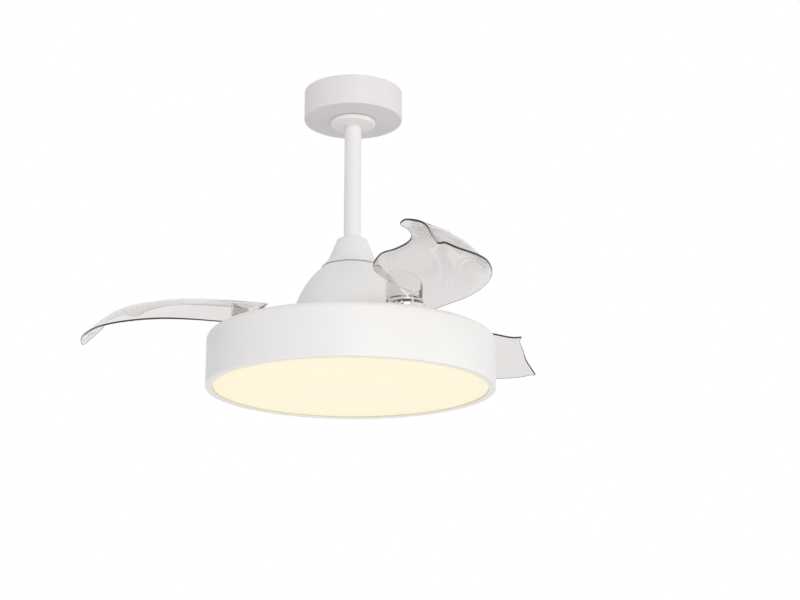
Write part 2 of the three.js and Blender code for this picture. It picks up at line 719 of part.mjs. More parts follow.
function syncRing() {
  const rootRadius = (gearModule * ringTeeth) / 2 - 1.25 * gearModule;
  const travelTeeth = Math.ceil(foldAngle / hubPitch);
  const teethPerArc = travelTeeth + 3;
  const outline = [];
  [...pivotAngles].reverse().forEach((pivot) => {
    for (let tooth = 0; tooth < teethPerArc; tooth += 1) {
      outline.push(...toothOutline(ringTeeth, pivot + (tooth - travelTeeth - 0.5) * ringPitch));
    }
    const plainFrom = pivot + (teethPerArc - travelTeeth) * ringPitch;
    const plainTo = pivot + 360 / bladeCount - (travelTeeth + 1) * ringPitch;
    outline.push(...bend(0, 0, rootRadius, plainFrom, plainTo, 8));
  });
  return slab(outline, level(gearLevel), level(gearTop), [circle(ringBoreRadius, drumSides)]);
}
add("sync_ring", syncRing(), darkSteel());

// Peg under the hub's flange, in the corner between the spring's coil and its upper leg.
const springPegReach = springCoilRadius + springWire / 2 + seatGap + springPegRadius;
const springPegDrop = springCoilRadius - springWire / 2 - seatGap - springPegRadius;
const springPegX = -Math.sqrt(springPegReach ** 2 - springPegDrop ** 2);

// Hub of one blade, centred on its pivot with the fan's axis towards -X.
function bladeHub() {
  const bore = postRadius + seatGap;
  const rootRadius = (gearModule * hubTeeth) / 2 - 1.25 * gearModule;
  const outline = [];
  const toothCount = Math.ceil(foldAngle / hubPitch) + 3;
  for (let tooth = 0; tooth < toothCount; tooth += 1) {
    outline.push(...toothOutline(hubTeeth, 180 + (tooth - 1) * hubPitch));
  }
  outline.push(...bend(0, 0, rootRadius, 180 + (toothCount - 0.5) * hubPitch, 540 - 1.5 * hubPitch, 8));
  const gear = slab(outline, level(gearLevel), level(gearTop), [circle(bore, smallSides)]);
  const spool = revolve([[bore, level(carrierLevel + carrierSheet) + seatGap],
    [hubColumnRadius, level(carrierLevel + carrierSheet) + seatGap], [hubColumnRadius, level(hubFlangeLevel)],
    [hubFlangeRadius, level(hubFlangeLevel)], [hubFlangeRadius, level(hubFlangeLevel + hubFlange)],
    [hubColumnRadius, level(hubFlangeLevel + hubFlange)], [hubColumnRadius, level(hubColumnLevel)],
    [bore, level(hubColumnLevel)]], smallSides);
  const peg = rod(springPegRadius, level(hubFlangeLevel) - 1.2 * springWire, level(hubFlangeLevel) + 1, screwSides);
  return join(spool, gear, peg.translate(springPegX, -springPegDrop, 0));
}

function pivotPost() {
  const head = postRadius + 2;
  const plate = level(carrierLevel);
  const seat = plate + carrierSheet;
  const shoulder = level(postShoulderLevel);
  return revolve([[0, plate - 2.5], [head, plate - 2.5], [head, plate - seatGap], [postShank, plate - seatGap],
    [postShank, seat + seatGap], [postRadius, seat + seatGap], [postRadius, shoulder], [studRadius, shoulder],
    [studRadius, shoulder + studReach], [0, shoulder + studReach]], smallSides);
}

// Hexagonal nut with a flange that covers the top of the hub's column.
function pivotNut() {
  const low = level(postShoulderLevel) + seatGap;
  const flange = slab(circle(9, smallSides), low, low + 1.4, [circle(studRadius + seatGap, smallSides)]);
  const hex = slab(circle(6, 6), low + 1, low + 5, [circle(studRadius + seatGap, smallSides)]);
  return join(flange, hex);
}

// Torsion spring round the hub's column, under its flange: the lower leg runs out to the carrier's stop
// pin, and the upper one lies against the peg under the flange and draws the blade towards the drum.
function returnSpring() {
  const start = gearTop + seatGap + springWire / 2;
  const top = hubFlangeLevel - seatGap - springWire / 2;
  const points = [new THREE.Vector3(springLeg, -springCoilRadius, level(start))];
  for (let i = 0; i <= springTurns * springSteps; i += 1) {
    const share = i / (springTurns * springSteps);
    points.push(polar(springCoilRadius, -90 - springTurns * 360 * share, level(start + (top - start) * share)));
  }
  points.push(new THREE.Vector3(-springHook, -springCoilRadius, level(top)));
  const steps = Math.round((springTurns * springSteps * new THREE.CatmullRomCurve3(points).getLength())
    / (springTurns * 2 * Math.PI * springCoilRadius));
  printLeastGap("return spring", points, springWire, steps);
  return wireAlong(points, springWire, steps);
}

// ---- blade ---------------------------------------------------------------------------------------------
// The blade is a curved patch between four edges, measured from its pivot: x runs out from the fan's
// axis, y runs against the clock seen from above, and z is the level. The outer edge trails low, the
// inner edge stands high, and the end edge is notched to clear the next blade's foot when folded.
function edge(points) {
  return new THREE.CatmullRomCurve3(points.map(([x, y, z]) => new THREE.Vector3(x, y, z)), false, "centripetal");
}
const outerEdge = edge([[3.5, 49, 15], [42.5, 53, 14.5], [87.5, 58, 15], [142.5, 55, 17], [205.5, 28, 20],
  [255.5, -15, 19], [280.5, -56, 18], [298.5, -100, 17.5], [307.5, -128, 18], [304.5, -139, 22]]);
const innerEdge = edge([[17.5, -74, 75], [49.5, -76, 81], [85.5, -70, 82], [122.5, -73, 82], [148.5, -87, 83],
  [169.5, -112, 82.5], [197.5, -139, 78.5], [213.5, -150, 76]]);
const rootEdge = edge([[3.5, 49, 15], [-18.5, 37, 36], [-33.5, 12, 56], [-35.5, -12, 64], [-27.5, -36, 69],
  [-7.5, -60, 74], [17.5, -74, 75]]);
const endEdge = edge([[304.5, -139, 22], [288.5, -137, 32], [265.5, -131, 48], [251.5, -128, 60], [234.5, -137, 70],
  [221.5, -149, 75], [213.5, -150, 76]]);

// Coons patch: s runs from root to end and t from the outer to the inner edge.
function bladePoint(s, t) {
  const across = outerEdge.getPointAt(s).multiplyScalar(1 - t).addScaledVector(innerEdge.getPointAt(s), t);
  const along = rootEdge.getPointAt(t).multiplyScalar(1 - s).addScaledVector(endEdge.getPointAt(t), s);
  const corners = outerEdge.getPointAt(0).multiplyScalar((1 - s) * (1 - t))
    .addScaledVector(innerEdge.getPointAt(0), (1 - s) * t)
    .addScaledVector(outerEdge.getPointAt(1), s * (1 - t))
    .addScaledVector(innerEdge.getPointAt(1), s * t);
  return across.add(along).sub(corners);
}

function bladeNormal(s, t) {
  const reach = 0.03;
  const [midS, midT] = [s, t].map((value) => THREE.MathUtils.clamp(value, reach, 1 - reach));
  const alongS = bladePoint(midS + reach, midT).sub(bladePoint(midS - reach, midT));
  const alongT = bladePoint(midS, midT + reach).sub(bladePoint(midS, midT - reach));
  const normal = alongS.cross(alongT).normalize();
  return normal.z < 0 ? normal.negate() : normal;
}

const bladeRows = 13;
const bladeColumns = 8;

// Closed solid between an upper and a lower sheet of points on the blade's patch.
function sheetSolid(upper, lower) {
  const positions = [];
  const index = [];
  const width = bladeColumns + 1;
  const count = (bladeRows + 1) * width;
  [upper, lower].forEach((sheet) => {
    for (let row = 0; row <= bladeRows; row += 1) {
      for (let column = 0; column <= bladeColumns; column += 1) {
        positions.push(...sheet(row / bladeRows, column / bladeColumns).toArray());
      }
    }
  });
  const quad = (a, b, c, d) => index.push(a, b, c, a, c, d);
  for (let row = 0; row < bladeRows; row += 1) {
    for (let column = 0; column < bladeColumns; column += 1) {
      const a = row * width + column;
      quad(a, a + width, a + width + 1, a + 1);
      quad(count + a, count + a + 1, count + a + width + 1, count + a + width);
    }
  }
  const border = [];
  for (let row = 0; row < bladeRows; row += 1) border.push(row * width);
  for (let column = 0; column < bladeColumns; column += 1) border.push(bladeRows * width + column);
  for (let row = bladeRows; row > 0; row -= 1) border.push(row * width + bladeColumns);
  for (let column = bladeColumns; column > 0; column -= 1) border.push(column);
  border.forEach((a, i) => {
    const b = border[(i + 1) % border.length];
    quad(b, a, count + a, count + b);
  });
  const geometry = new THREE.BufferGeometry();
  geometry.setAttribute("position", new THREE.Float32BufferAttribute(positions, 3));
  geometry.setIndex(index);
  return closed(geometry);
}

function bladeShell() {
  const offset = (side) => (s, t) => bladePoint(s, t).addScaledVector(bladeNormal(s, t), (side * bladeWall) / 2);
  const plate = sheetSolid(offset(1), offset(-1));
  const under = sheetSolid(bladePoint, (s, t) => bladePoint(s, t).setZ(-40));
  const inside = footRadius - footWall;
  const cup = revolve([[hubColumnRadius + 1.5, footLevel], [footRadius, footLevel], [footRadius, 90], [inside, 90],
    [inside, footLevel + footFloor], [hubColumnRadius + 1.5, footLevel + footFloor]], roundSides);
  const foot = toSolid(cup).intersect(toSolid(under));
  return fromSolid(toSolid(plate).add(foot)).translate(0, 0, drumTop);
}

const bladeGeometry = bladeShell();
const hubGeometry = bladeHub();
pivotAngles.forEach((angle, i) => {
  const letter = "abc"[i];
  const place = polar(pivotRadius, angle);
  const pivot = new THREE.Group();
  pivot.position.copy(place);
  pivot.rotation.z = THREE.MathUtils.degToRad(angle);
  fan.add(pivot);
  add(`pivot_post_${letter}`, pivotPost(), zincSteel(), pivot);
  add(`pivot_nut_${letter}`, pivotNut(), zincSteel(), pivot);
  add(`blade_hub_${letter}`, hubGeometry, darkSteel(), pivot);
  add(`return_spring_${letter}`, returnSpring(), zincSteel(), pivot);
  add(`blade_${letter}`, bladeGeometry, clearAcrylic(), pivot);
});

export default fan;
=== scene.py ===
# %% [markdown]
# # A ceiling fan whose clear blades fold away over its lamp
# The fan hangs from a short rod under a round canopy. Its motor turns a carrier on top of the lamp
# drum, and three clear blades swing out on pivots at the carrier's ends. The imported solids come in
# first as a fixed frame. Every piece made here sits where its solid is, in metres, with the ceiling
# at height 0.

# %% Load the frame
import math

import bmesh
import bpy
from mathutils import Matrix, Vector


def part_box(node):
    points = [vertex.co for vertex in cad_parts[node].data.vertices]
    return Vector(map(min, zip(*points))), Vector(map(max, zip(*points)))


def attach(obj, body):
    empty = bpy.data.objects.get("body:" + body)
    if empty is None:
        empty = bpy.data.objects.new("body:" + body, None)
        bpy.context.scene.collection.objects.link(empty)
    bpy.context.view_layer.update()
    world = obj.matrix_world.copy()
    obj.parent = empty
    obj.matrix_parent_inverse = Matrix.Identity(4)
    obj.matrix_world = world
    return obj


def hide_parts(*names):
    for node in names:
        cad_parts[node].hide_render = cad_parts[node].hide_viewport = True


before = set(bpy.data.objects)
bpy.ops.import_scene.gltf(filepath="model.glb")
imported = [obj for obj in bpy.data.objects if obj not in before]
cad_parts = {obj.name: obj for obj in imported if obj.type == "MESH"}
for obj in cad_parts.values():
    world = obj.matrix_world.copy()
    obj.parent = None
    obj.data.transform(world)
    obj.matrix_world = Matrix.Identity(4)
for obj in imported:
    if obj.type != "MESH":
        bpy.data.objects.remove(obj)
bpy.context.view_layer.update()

MM = 0.001

# %% [markdown]
# ## Where things are
# Heights are easiest to read when they are counted up from the drum's flat top, because the blades,
# the gears and the motor all stand on it. The frame says where that top is, so it is read from
# there and not typed in again.

# %% Heights above the drum
DRUM_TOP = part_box("drum_shell")[1].z


def level(height):
    """Height in metres of a place given in millimetres above the drum's top."""
    return DRUM_TOP + height * MM


def radius_of(node):
    """Outer radius, in millimetres, of a round solid on the fan's axis."""
    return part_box(node)[1].x / MM


def heights(node, base=0.0):
    """Lowest and highest place of a solid in millimetres, counted from a base."""
    return ((corner.z - base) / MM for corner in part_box(node))


def middle_of(node):
    low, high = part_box(node)
    return (low + high) / 2


print("drum top at", round(DRUM_TOP, 4), "drum radius", round(radius_of("drum_shell"), 1))

# %% [markdown]
# ## The camera
# The photograph was taken from below the drum with a long lens. The ellipses of the canopy and of
# the lamp give the height and the pitch, and their sizes give the distance. The camera is turned a
# little to the right so that the fan stands left of the middle, as it does in the photograph.

# %% Camera
CAMERA_DISTANCE = 2.7695
CAMERA_DROP = 0.70875
CAMERA_PITCH = math.radians(15.70)
CAMERA_YAW = math.radians(-1.75)
CAMERA_LENS = 73.94

camera = bpy.data.objects.new("photo_camera", bpy.data.cameras.new("photo_camera"))
bpy.context.scene.collection.objects.link(camera)
bpy.context.scene.camera = camera
camera.data.lens = CAMERA_LENS
camera.location = (0, -CAMERA_DISTANCE, DRUM_TOP - CAMERA_DROP)
camera.rotation_euler = (math.radians(90) + CAMERA_PITCH, 0, CAMERA_YAW)
print("camera at", [round(c, 3) for c in camera.location])

# %% [markdown]
# ## Helpers for node trees
# Every finish, the world and the repeated pieces are node trees. One helper adds a node: it sets
# the node's properties, then links each input to a socket or fills it with a value.

# %% Helpers for node trees
def add_node(tree, kind, inputs=None, **settings):
    """Adds a node, sets its properties, and links or fills its inputs."""
    made = tree.nodes.new(kind)
    for name, value in settings.items():
        setattr(made, name, value)
    for key, value in (inputs or {}).items():
        if isinstance(value, bpy.types.NodeSocket):
            tree.links.new(value, made.inputs[key])
        else:
            made.inputs[key].default_value = value
    return made


def maths(tree, operation, *values, clamp=False):
    """The sum, product or the like of sockets and numbers."""
    return add_node(tree, "ShaderNodeMath", dict(enumerate(values)), operation=operation,
                    use_clamp=clamp).outputs[0]


def new_finish(name, roughness, metallic=0.0):
    material = bpy.data.materials.new(name)
    material.use_nodes = True
    tree = material.node_tree
    shader = tree.nodes["Principled BSDF"]
    shader.inputs["Roughness"].default_value = roughness
    shader.inputs["Metallic"].default_value = metallic
    return material, tree, shader


def show_as(tree, first, second, share):
    """Makes a finish show one shader where the share is 0, and the other where it is 1."""
    mix = add_node(tree, "ShaderNodeMixShader", {0: share, 1: first.outputs[0], 2: second.outputs[0]})
    tree.links.new(mix.outputs[0], tree.nodes["Material Output"].inputs["Surface"])


def new_object(name, mesh, material):
    piece = bpy.data.objects.new(name, mesh)
    bpy.context.scene.collection.objects.link(piece)
    if material and not mesh.materials:
        mesh.materials.append(material)
    return piece


print("node helpers ready")

# %% [markdown]
# ## White room and soft light
# The fan is shown on plain white, lit by a large soft lamp in front, a second one on the right, a
# weak rosy one low on the left, and by the room. A white wall could be made by pouring light on it,
# but that light would bleach the fan as well. So the world is white only to the rays that look at
# it, straight or through the clear blades, and it lights the fan at a lower strength. The floor
# lies far below, and keeps a faint shadow.

# %% World, lamps and floor
ROOM_LIGHT = 0.6
FLOOR_HEIGHT = -2.6
FLOOR_HALF = 8.0
FLOOR_GREY = (0.9, 0.9, 0.9, 1)
FLOOR_GLOW = 0.8
WARM_LIGHT = (1.0, 0.985, 0.965)
ROSY_LIGHT = (1.0, 0.925, 0.975)
LAMPS = (("front_lamp", (0.9, -3.8, -0.3), 2.6, 50, WARM_LIGHT),
         ("side_lamp", (4.0, -0.8, -0.5), 2.0, 26, WARM_LIGHT),
         ("fill_lamp", (-2.8, -2.0, -1.8), 2.0, 11, ROSY_LIGHT))


def seen_ray(tree):
    """A socket that is 1 for rays that look at the background: straight, mirrored or through glass."""
    path = add_node(tree, "ShaderNodeLightPath").outputs
    first = maths(tree, "MAXIMUM", path["Is Camera Ray"], path["Is Glossy Ray"])
    return maths(tree, "MAXIMUM", first, path["Is Transmission Ray"])


def make_world():
    world = bpy.data.worlds.new("white_room")
    world.use_nodes = True
    tree = world.node_tree
    background = tree.nodes["Background"]
    background.inputs["Color"].default_value = (1, 1, 1, 1)
    strength = add_node(tree, "ShaderNodeMapRange",
                        {"Value": seen_ray(tree), "To Min": ROOM_LIGHT, "To Max": 1.0})
    tree.links.new(strength.outputs["Result"], background.inputs["Strength"])
    bpy.context.scene.world = world


def make_lamp(name, place, size, power, colour):
    data = bpy.data.lights.new(name, "AREA")
    data.size = size
    data.energy = power
    data.color = colour
    lamp = bpy.data.objects.new(name, data)
    bpy.context.scene.collection.objects.link(lamp)
    lamp.location = place
    aim = Vector((0, 0, DRUM_TOP)) - Vector(place)
    lamp.rotation_euler = aim.to_track_quat("-Z", "Y").to_euler()


def make_floor():
    material, tree, plain = new_finish("pale_floor", 0.9)
    plain.inputs["Base Color"].default_value = FLOOR_GREY
    glow = add_node(tree, "ShaderNodeEmission")
    show_as(tree, plain, glow, maths(tree, "MULTIPLY", seen_ray(tree), FLOOR_GLOW))
    mesh = bpy.data.meshes.new("floor")
    square = ((-1, -1), (1, -1), (1, 1), (-1, 1))
    mesh.from_pydata([(x * FLOOR_HALF, y * FLOOR_HALF, FLOOR_HEIGHT) for x, y in square], [], [(0, 1, 2, 3)])
    new_object("floor", mesh, material)


make_world()
make_floor()
for lamp_values in LAMPS:
    make_lamp(*lamp_values)
bpy.context.scene.view_settings.view_transform = "Standard"
print("room light", ROOM_LIGHT, "lamps", len(LAMPS))

# %% [markdown]
# ## Finishes
# Each finish is a small node tree on Object coordinates, which are the fan's own metres because
# every piece sits at the origin. A flat colour would look like plastic film, so each one gets the
# fine grain that its surface really has: the orange peel of powder coat, the grain of rolled zinc,
# the turning marks of machined steel.

# %% Grain, colour, shine and bump
def noise(tree, scale, detail=3.0, stretch=(1, 1, 1)):
    """Noise in the fan's metres. Scale counts its grains in a metre."""
    place = add_node(tree, "ShaderNodeTexCoord").outputs["Object"]
    mapping = add_node(tree, "ShaderNodeMapping", {"Vector": place, "Scale": stretch})
    grain = add_node(tree, "ShaderNodeTexNoise",
                     {"Vector": mapping.outputs["Vector"], "Scale": scale, "Detail": detail})
    return grain.outputs["Fac"]


def drive_colour(tree, shader, factor, low, high):
    mix = add_node(tree, "ShaderNodeMix", {"A": (*low, 1), "B": (*high, 1), "Factor": factor},
                   data_type="RGBA")
    tree.links.new(mix.outputs["Result"], shader.inputs["Base Color"])


def drive_roughness(tree, shader, factor, low, high):
    span = add_node(tree, "ShaderNodeMapRange", {"Value": factor, "To Min": low, "To Max": high})
    tree.links.new(span.outputs["Result"], shader.inputs["Roughness"])


def drive_bump(tree, shader, height, depth, strength=0.4):
    bump = add_node(tree, "ShaderNodeBump", {"Height": height, "Distance": depth, "Strength": strength})
    tree.links.new(bump.outputs["Normal"], shader.inputs["Normal"])


print("finishes follow the fan's own metres")

# %% [markdown]
# ### Powder coat
# The canopy, rod, covers and drum are sheet steel under a white baked powder. It is even, satin and
# very slightly warm, with an orange peel of about a millimetre. Two noises do it: a wide one shifts
# the white by two hundredths, and a fine one makes the peel and breaks up the shine. The canopy's
# copy is painted greyer and rosier, as painted shade and a painted rosy tint of the room's light,
# and the trim ring's copy is painted whiter, as painted light on its face.

# %% White powder coat
PEEL_SCALE = 700


def powder_coat(name, low, high):
    material, tree, shader = new_finish(name, 0.45)
    drive_colour(tree, shader, noise(tree, 9, 2), low, high)
    peel = noise(tree, PEEL_SCALE, 2)
    drive_roughness(tree, shader, peel, 0.4, 0.52)
    drive_bump(tree, shader, peel, 0.00006)
    return material


WHITE_COAT = ((0.855, 0.846, 0.836), (0.875, 0.866, 0.856))
white_paint = powder_coat("white_powder_coat", *WHITE_COAT)
# Painted shade: the canopy's copy of the coat is greyer and rosier than the white coat.
canopy_painted_shade_and_rose = powder_coat("canopy_powder_coat_painted_shade_and_rose", (0.80, 0.757, 0.768), (0.82, 0.777, 0.788))
# Painted light: the trim ring's copy of the coat is whiter than the white coat.
trim_painted_light = powder_coat("trim_powder_coat_painted_light", (0.9, 0.885, 0.875), (0.92, 0.905, 0.895))
print("paint:", white_paint.name, canopy_painted_shade_and_rose.name, trim_painted_light.name)

# %% [markdown]
# ### Metals
# Zinc plate is a soft grey metal with a faint bluish bloom. The ring is machined steel, darker, with
# marks that run the way the tool ran, and the hubs are pale cast zinc. Copper is under clear enamel,
# and ferrite is a dull black ceramic. All are one Principled shader with its own noise.

# %% Metals, copper and ferrite
def metal(name, low, high, rough, grain_scale, stretch=(1, 1, 1), depth=0.00003):
    material, tree, shader = new_finish(name, rough, 1.0)
    drive_colour(tree, shader, noise(tree, 60, 3), low, high)
    grain = noise(tree, grain_scale, 4, stretch)
    drive_roughness(tree, shader, grain, rough - 0.08, rough + 0.1)
    drive_bump(tree, shader, grain, depth, 0.3)
    return material


zinc_steel = metal("zinc_plated_steel", (0.56, 0.57, 0.59), (0.66, 0.67, 0.68), 0.36, 500)
machined_steel = metal("machined_steel", (0.5, 0.49, 0.49), (0.58, 0.57, 0.57), 0.34, 900, (1, 1, 0.05))
cast_zinc = metal("die_cast_zinc", (0.72, 0.70, 0.69), (0.79, 0.77, 0.76), 0.46, 500)
spring_steel = metal("spring_steel", (0.5, 0.5, 0.52), (0.6, 0.6, 0.62), 0.28, 800)
copper_wire = metal("enamelled_copper", (0.62, 0.27, 0.13), (0.75, 0.37, 0.19), 0.3, 650, (1, 1, 6),
                    0.0002)
core_steel = metal("laminated_core", (0.22, 0.22, 0.23), (0.32, 0.32, 0.33), 0.5, 1400,
                   (0.02, 0.02, 1), 0.0001)
screw_steel = metal("screw_steel", (0.42, 0.41, 0.41), (0.5, 0.49, 0.48), 0.3, 700)


def ferrite():
    material, tree, shader = new_finish("black_ferrite", 0.7)
    speck = noise(tree, 900, 4)
    drive_colour(tree, shader, speck, (0.02, 0.02, 0.022), (0.05, 0.05, 0.052))
    drive_bump(tree, shader, speck, 0.00008)
    return material


black_ferrite = ferrite()
print("metals:", [m.name for m in (zinc_steel, machined_steel, spring_steel, copper_wire, core_steel)])

# %% [markdown]
# ### Plastics and boards
# The hanger ball, rollers and boxes are moulded in white plastic with a fine spark texture. It is
# softer and yellower than the paint, and light goes a little way into it.

# %% White plastic and circuit board
def moulded_plastic(name, low, high, rough=0.5):
    material, tree, shader = new_finish(name, rough)
    spark = noise(tree, 1200, 2)
    drive_colour(tree, shader, noise(tree, 14, 2), low, high)
    drive_roughness(tree, shader, spark, rough - 0.06, rough + 0.06)
    drive_bump(tree, shader, spark, 0.00005)
    return material


white_plastic = moulded_plastic("white_plastic", (0.76, 0.74, 0.69), (0.8, 0.78, 0.73))
board_white = moulded_plastic("board_white", (0.8, 0.8, 0.78), (0.84, 0.84, 0.82), 0.4)
phosphor = moulded_plastic("lamp_phosphor", (0.83, 0.6, 0.1), (0.9, 0.68, 0.14), 0.6)
print("plastics:", white_plastic.name, board_white.name, phosphor.name)

# %% [markdown]
# ### Clear acrylic
# The blades are clear acrylic with a breath of grey. Light that crosses the three millimetres of
# wall loses about a quarter, but at the rim the eye looks along the sheet and the grey adds up to a
# dark line. Volume absorption would do both, slowly. Here the wall and the rim are two glass
# finishes with the colour that each path ends up with. The foot's cup is thinner and nearly clear,
# with a grey skirt under the root. Where the eye looks along the cup's wall it turns dark, partly
# for the longer path and mostly as painted shade, and a dark crescent of painted shade lies on one
# side. Lamp rays pass straight through, so that the blades throw a light shadow and no black one.

# %% Clear acrylic
ACRYLIC_BEND = 1.3
FOOT_BEND = 1.12
# Painted shade: the colour of the dark crescent on the cup's side.
FOOT_PAINTED_SHADE = (0.52, 0.5, 0.49)
WALL_TINT = ((0.755, 0.735, 0.725), (0.79, 0.77, 0.76))
FOOT_TINT = (0.97, 0.96, 0.955)
# Painted shade: the cup's wall darkens to this where the eye looks along it.
FOOT_GRAZING_PAINTED_SHADE = (0.3, 0.28, 0.27)
RIM_TINT = ((0.24, 0.22, 0.215), (0.32, 0.3, 0.29))
GRAZING = (0.72, 1.0)


def grazing(tree):
    """0 where the eye looks square through a wall, 1 where it looks along it."""
    facing = add_node(tree, "ShaderNodeLayerWeight").outputs["Facing"]
    span = add_node(tree, "ShaderNodeMapRange",
                    {"Value": facing, "From Min": GRAZING[0], "From Max": GRAZING[1]},
                    interpolation_type="SMOOTHSTEP")
    return span.outputs["Result"]


def acrylic(name, tint, rough, bend=ACRYLIC_BEND, share=noise, shadow=None):
    """Glass whose tint runs between two colours, by noise or by another share."""
    material, tree, shader = new_finish(name, rough)
    shader.inputs["Transmission Weight"].default_value = 1.0
    shader.inputs["IOR"].default_value = bend
    drive_colour(tree, shader, share(tree, 7, 2) if share is noise else share(tree), *tint)
    through = add_node(tree, "ShaderNodeBsdfTransparent", {"Color": (*(shadow or tint[1]), 1)})
    show_as(tree, shader, through, add_node(tree, "ShaderNodeLightPath").outputs["Is Shadow Ray"])
    return material


clear_wall = acrylic("clear_acrylic_wall", WALL_TINT, 0.02)
clear_rim = acrylic("clear_acrylic_rim", RIM_TINT, 0.12)
clear_foot = acrylic("clear_acrylic_foot", (FOOT_TINT, FOOT_GRAZING_PAINTED_SHADE), 0.02, FOOT_BEND, grazing, FOOT_TINT)
clear_skirt = acrylic("clear_acrylic_skirt", WALL_TINT, 0.02, FOOT_BEND)
clear_painted_shade = acrylic("clear_acrylic_painted_shade", (FOOT_PAINTED_SHADE, FOOT_PAINTED_SHADE), 0.05, FOOT_BEND)
print("refractive index:", ACRYLIC_BEND, "in the blades,", FOOT_BEND, "in their feet")

# %% [markdown]
# ### Lit diffuser
# The disc under the drum is opal acrylic with a ring of small lamps behind it. It glows evenly, a
# warm cream that turns yellower in the last few centimetres, where the wall of the drum cuts off
# part of the light. The distance from the axis picks the colour, so the glow is part of the piece.

# %% Lit diffuser
GLOW_STRENGTH = 0.62
GLOW_MIDDLE = (0.61, 0.51, 0.265, 1)
GLOW_RING = (0.6, 0.505, 0.24, 1)
GLOW_RING_PLACE = 0.82
GLOW_EDGE = (0.585, 0.49, 0.2, 1)
# Painted light: the drum's lip glows a little, as if lit by the disc beside it.
LIP_PAINTED_GLOW_STRENGTH = 0.1
LIP_PAINTED_GLOW_COLOUR = (1.0, 0.97, 0.88, 1)


def opal_glow():
    material, tree, shader = new_finish("lit_opal_acrylic", 0.5)
    drive_colour(tree, shader, noise(tree, 25, 2), (0.8, 0.78, 0.72), (0.83, 0.81, 0.75))
    place = add_node(tree, "ShaderNodeTexCoord").outputs["Object"]
    flat = add_node(tree, "ShaderNodeVectorMath", {0: place, 1: (1, 1, 0)}, operation="MULTIPLY")
    reach = add_node(tree, "ShaderNodeVectorMath", {0: flat.outputs["Vector"]}, operation="LENGTH")
    share = maths(tree, "DIVIDE", reach.outputs["Value"], radius_of("diffuser") * MM)
    ramp = add_node(tree, "ShaderNodeValToRGB", {"Fac": share})
    first, last = ramp.color_ramp.elements
    first.color, last.color = GLOW_MIDDLE, GLOW_EDGE
    ramp.color_ramp.elements.new(GLOW_RING_PLACE).color = GLOW_RING
    tree.links.new(ramp.outputs["Color"], shader.inputs["Emission Color"])
    shader.inputs["Emission Strength"].default_value = GLOW_STRENGTH
    return material


def lip_paint():
    """The drum's paint on its lip, with a painted glow that stands for the light of the disc beside it."""
    material = powder_coat("white_powder_coat_lip_painted_glow", *WHITE_COAT)
    shader = material.node_tree.nodes["Principled BSDF"]
    shader.inputs["Emission Color"].default_value = LIP_PAINTED_GLOW_COLOUR
    shader.inputs["Emission Strength"].default_value = LIP_PAINTED_GLOW_STRENGTH
    return material


lit_opal = opal_glow()
lip_painted_glow = lip_paint()
print("glow:", GLOW_STRENGTH, "painted glow on the lip:", LIP_PAINTED_GLOW_STRENGTH)

# %% [markdown]
# ## Tools for round pieces
# Most of the fan is spun or turned, so one helper revolves an outline about the axis. Blender's
# Screw modifier would do it too, but a helper that writes the rings itself gives clean closed
# poles and can be drilled straight away. Edges sharper than a set angle stay crisp, the rest shade
# smoothly.

# %% Outlines and the lathe
ROUND_SIDES = 160
CRISP = math.radians(32)


def arc(centre_x, centre_y, radius, start, end, steps=8):
    """Points of a round corner of an outline, from one angle to another, in degrees."""
    angles = [math.radians(start + (end - start) * i / steps) for i in range(steps + 1)]
    return [(centre_x + radius * math.cos(a), centre_y + radius * math.sin(a)) for a in angles]


def shade(mesh, crisp=CRISP):
    """Smooth shading with crisp edges where two faces meet at more than an angle."""
    form = bmesh.new()
    form.from_mesh(mesh)
    for face in form.faces:
        face.smooth = True
    for edge in form.edges:
        edge.smooth = len(edge.link_faces) == 2 and edge.calc_face_angle(0) < crisp
    form.to_mesh(mesh)
    form.free()


def from_form(form, name, material=None):
    """Writes a form to a mesh, and makes an object of it."""
    mesh = bpy.data.meshes.new(name)
    form.to_mesh(mesh)
    form.free()
    return new_object(name, mesh, material)


def lathe(name, outline, material, sides=ROUND_SIDES, base=DRUM_TOP):
    """Revolves a closed outline of (radius, height) in millimetres about the fan's axis."""
    form = bmesh.new()
    rings = []
    for radius, height in outline:
        z = base + height * MM
        if radius < 1e-6:
            rings.append([form.verts.new((0, 0, z))])
            continue
        angles = [2 * math.pi * i / sides for i in range(sides)]
        rings.append([form.verts.new((radius * MM * math.cos(a), radius * MM * math.sin(a), z))
                      for a in angles])
    pairs = list(zip(rings, rings[1:]))
    if len(rings[0]) > 1 and len(rings[-1]) > 1:
        pairs.append((rings[-1], rings[0]))
    for low, high in pairs:
        for i in range(sides):
            j = (i + 1) % sides
            ring = [low[i % len(low)], low[j % len(low)], high[j % len(high)], high[i % len(high)]]
            corners = list(dict.fromkeys(ring))
            if len(corners) > 2:
                form.faces.new(corners)
    bmesh.ops.recalc_face_normals(form, faces=form.faces)
    piece = from_form(form, name, material)
    shade(piece.data)
    return piece


def slab(name, outline, low, high, material, holes=()):
    """A flat plate with a given outline and holes in millimetres, between two levels."""
    form = bmesh.new()
    edges = []
    for loop in (outline, *holes):
        verts = [form.verts.new((x * MM, y * MM, low)) for x, y in loop]
        edges += [form.edges.new((verts[i], verts[(i + 1) % len(verts)])) for i in range(len(verts))]
    bmesh.ops.triangle_fill(form, edges=edges, use_beauty=True)
    faces = list(form.faces)
    lifted = bmesh.ops.extrude_face_region(form, geom=faces)
    top = [item for item in lifted["geom"] if isinstance(item, bmesh.types.BMVert)]
    bmesh.ops.translate(form, verts=top, vec=(0, 0, high - low))
    bmesh.ops.recalc_face_normals(form, faces=form.faces)
    piece = from_form(form, name, material)
    shade(piece.data)
    return piece


print("round pieces have", ROUND_SIDES, "sides")

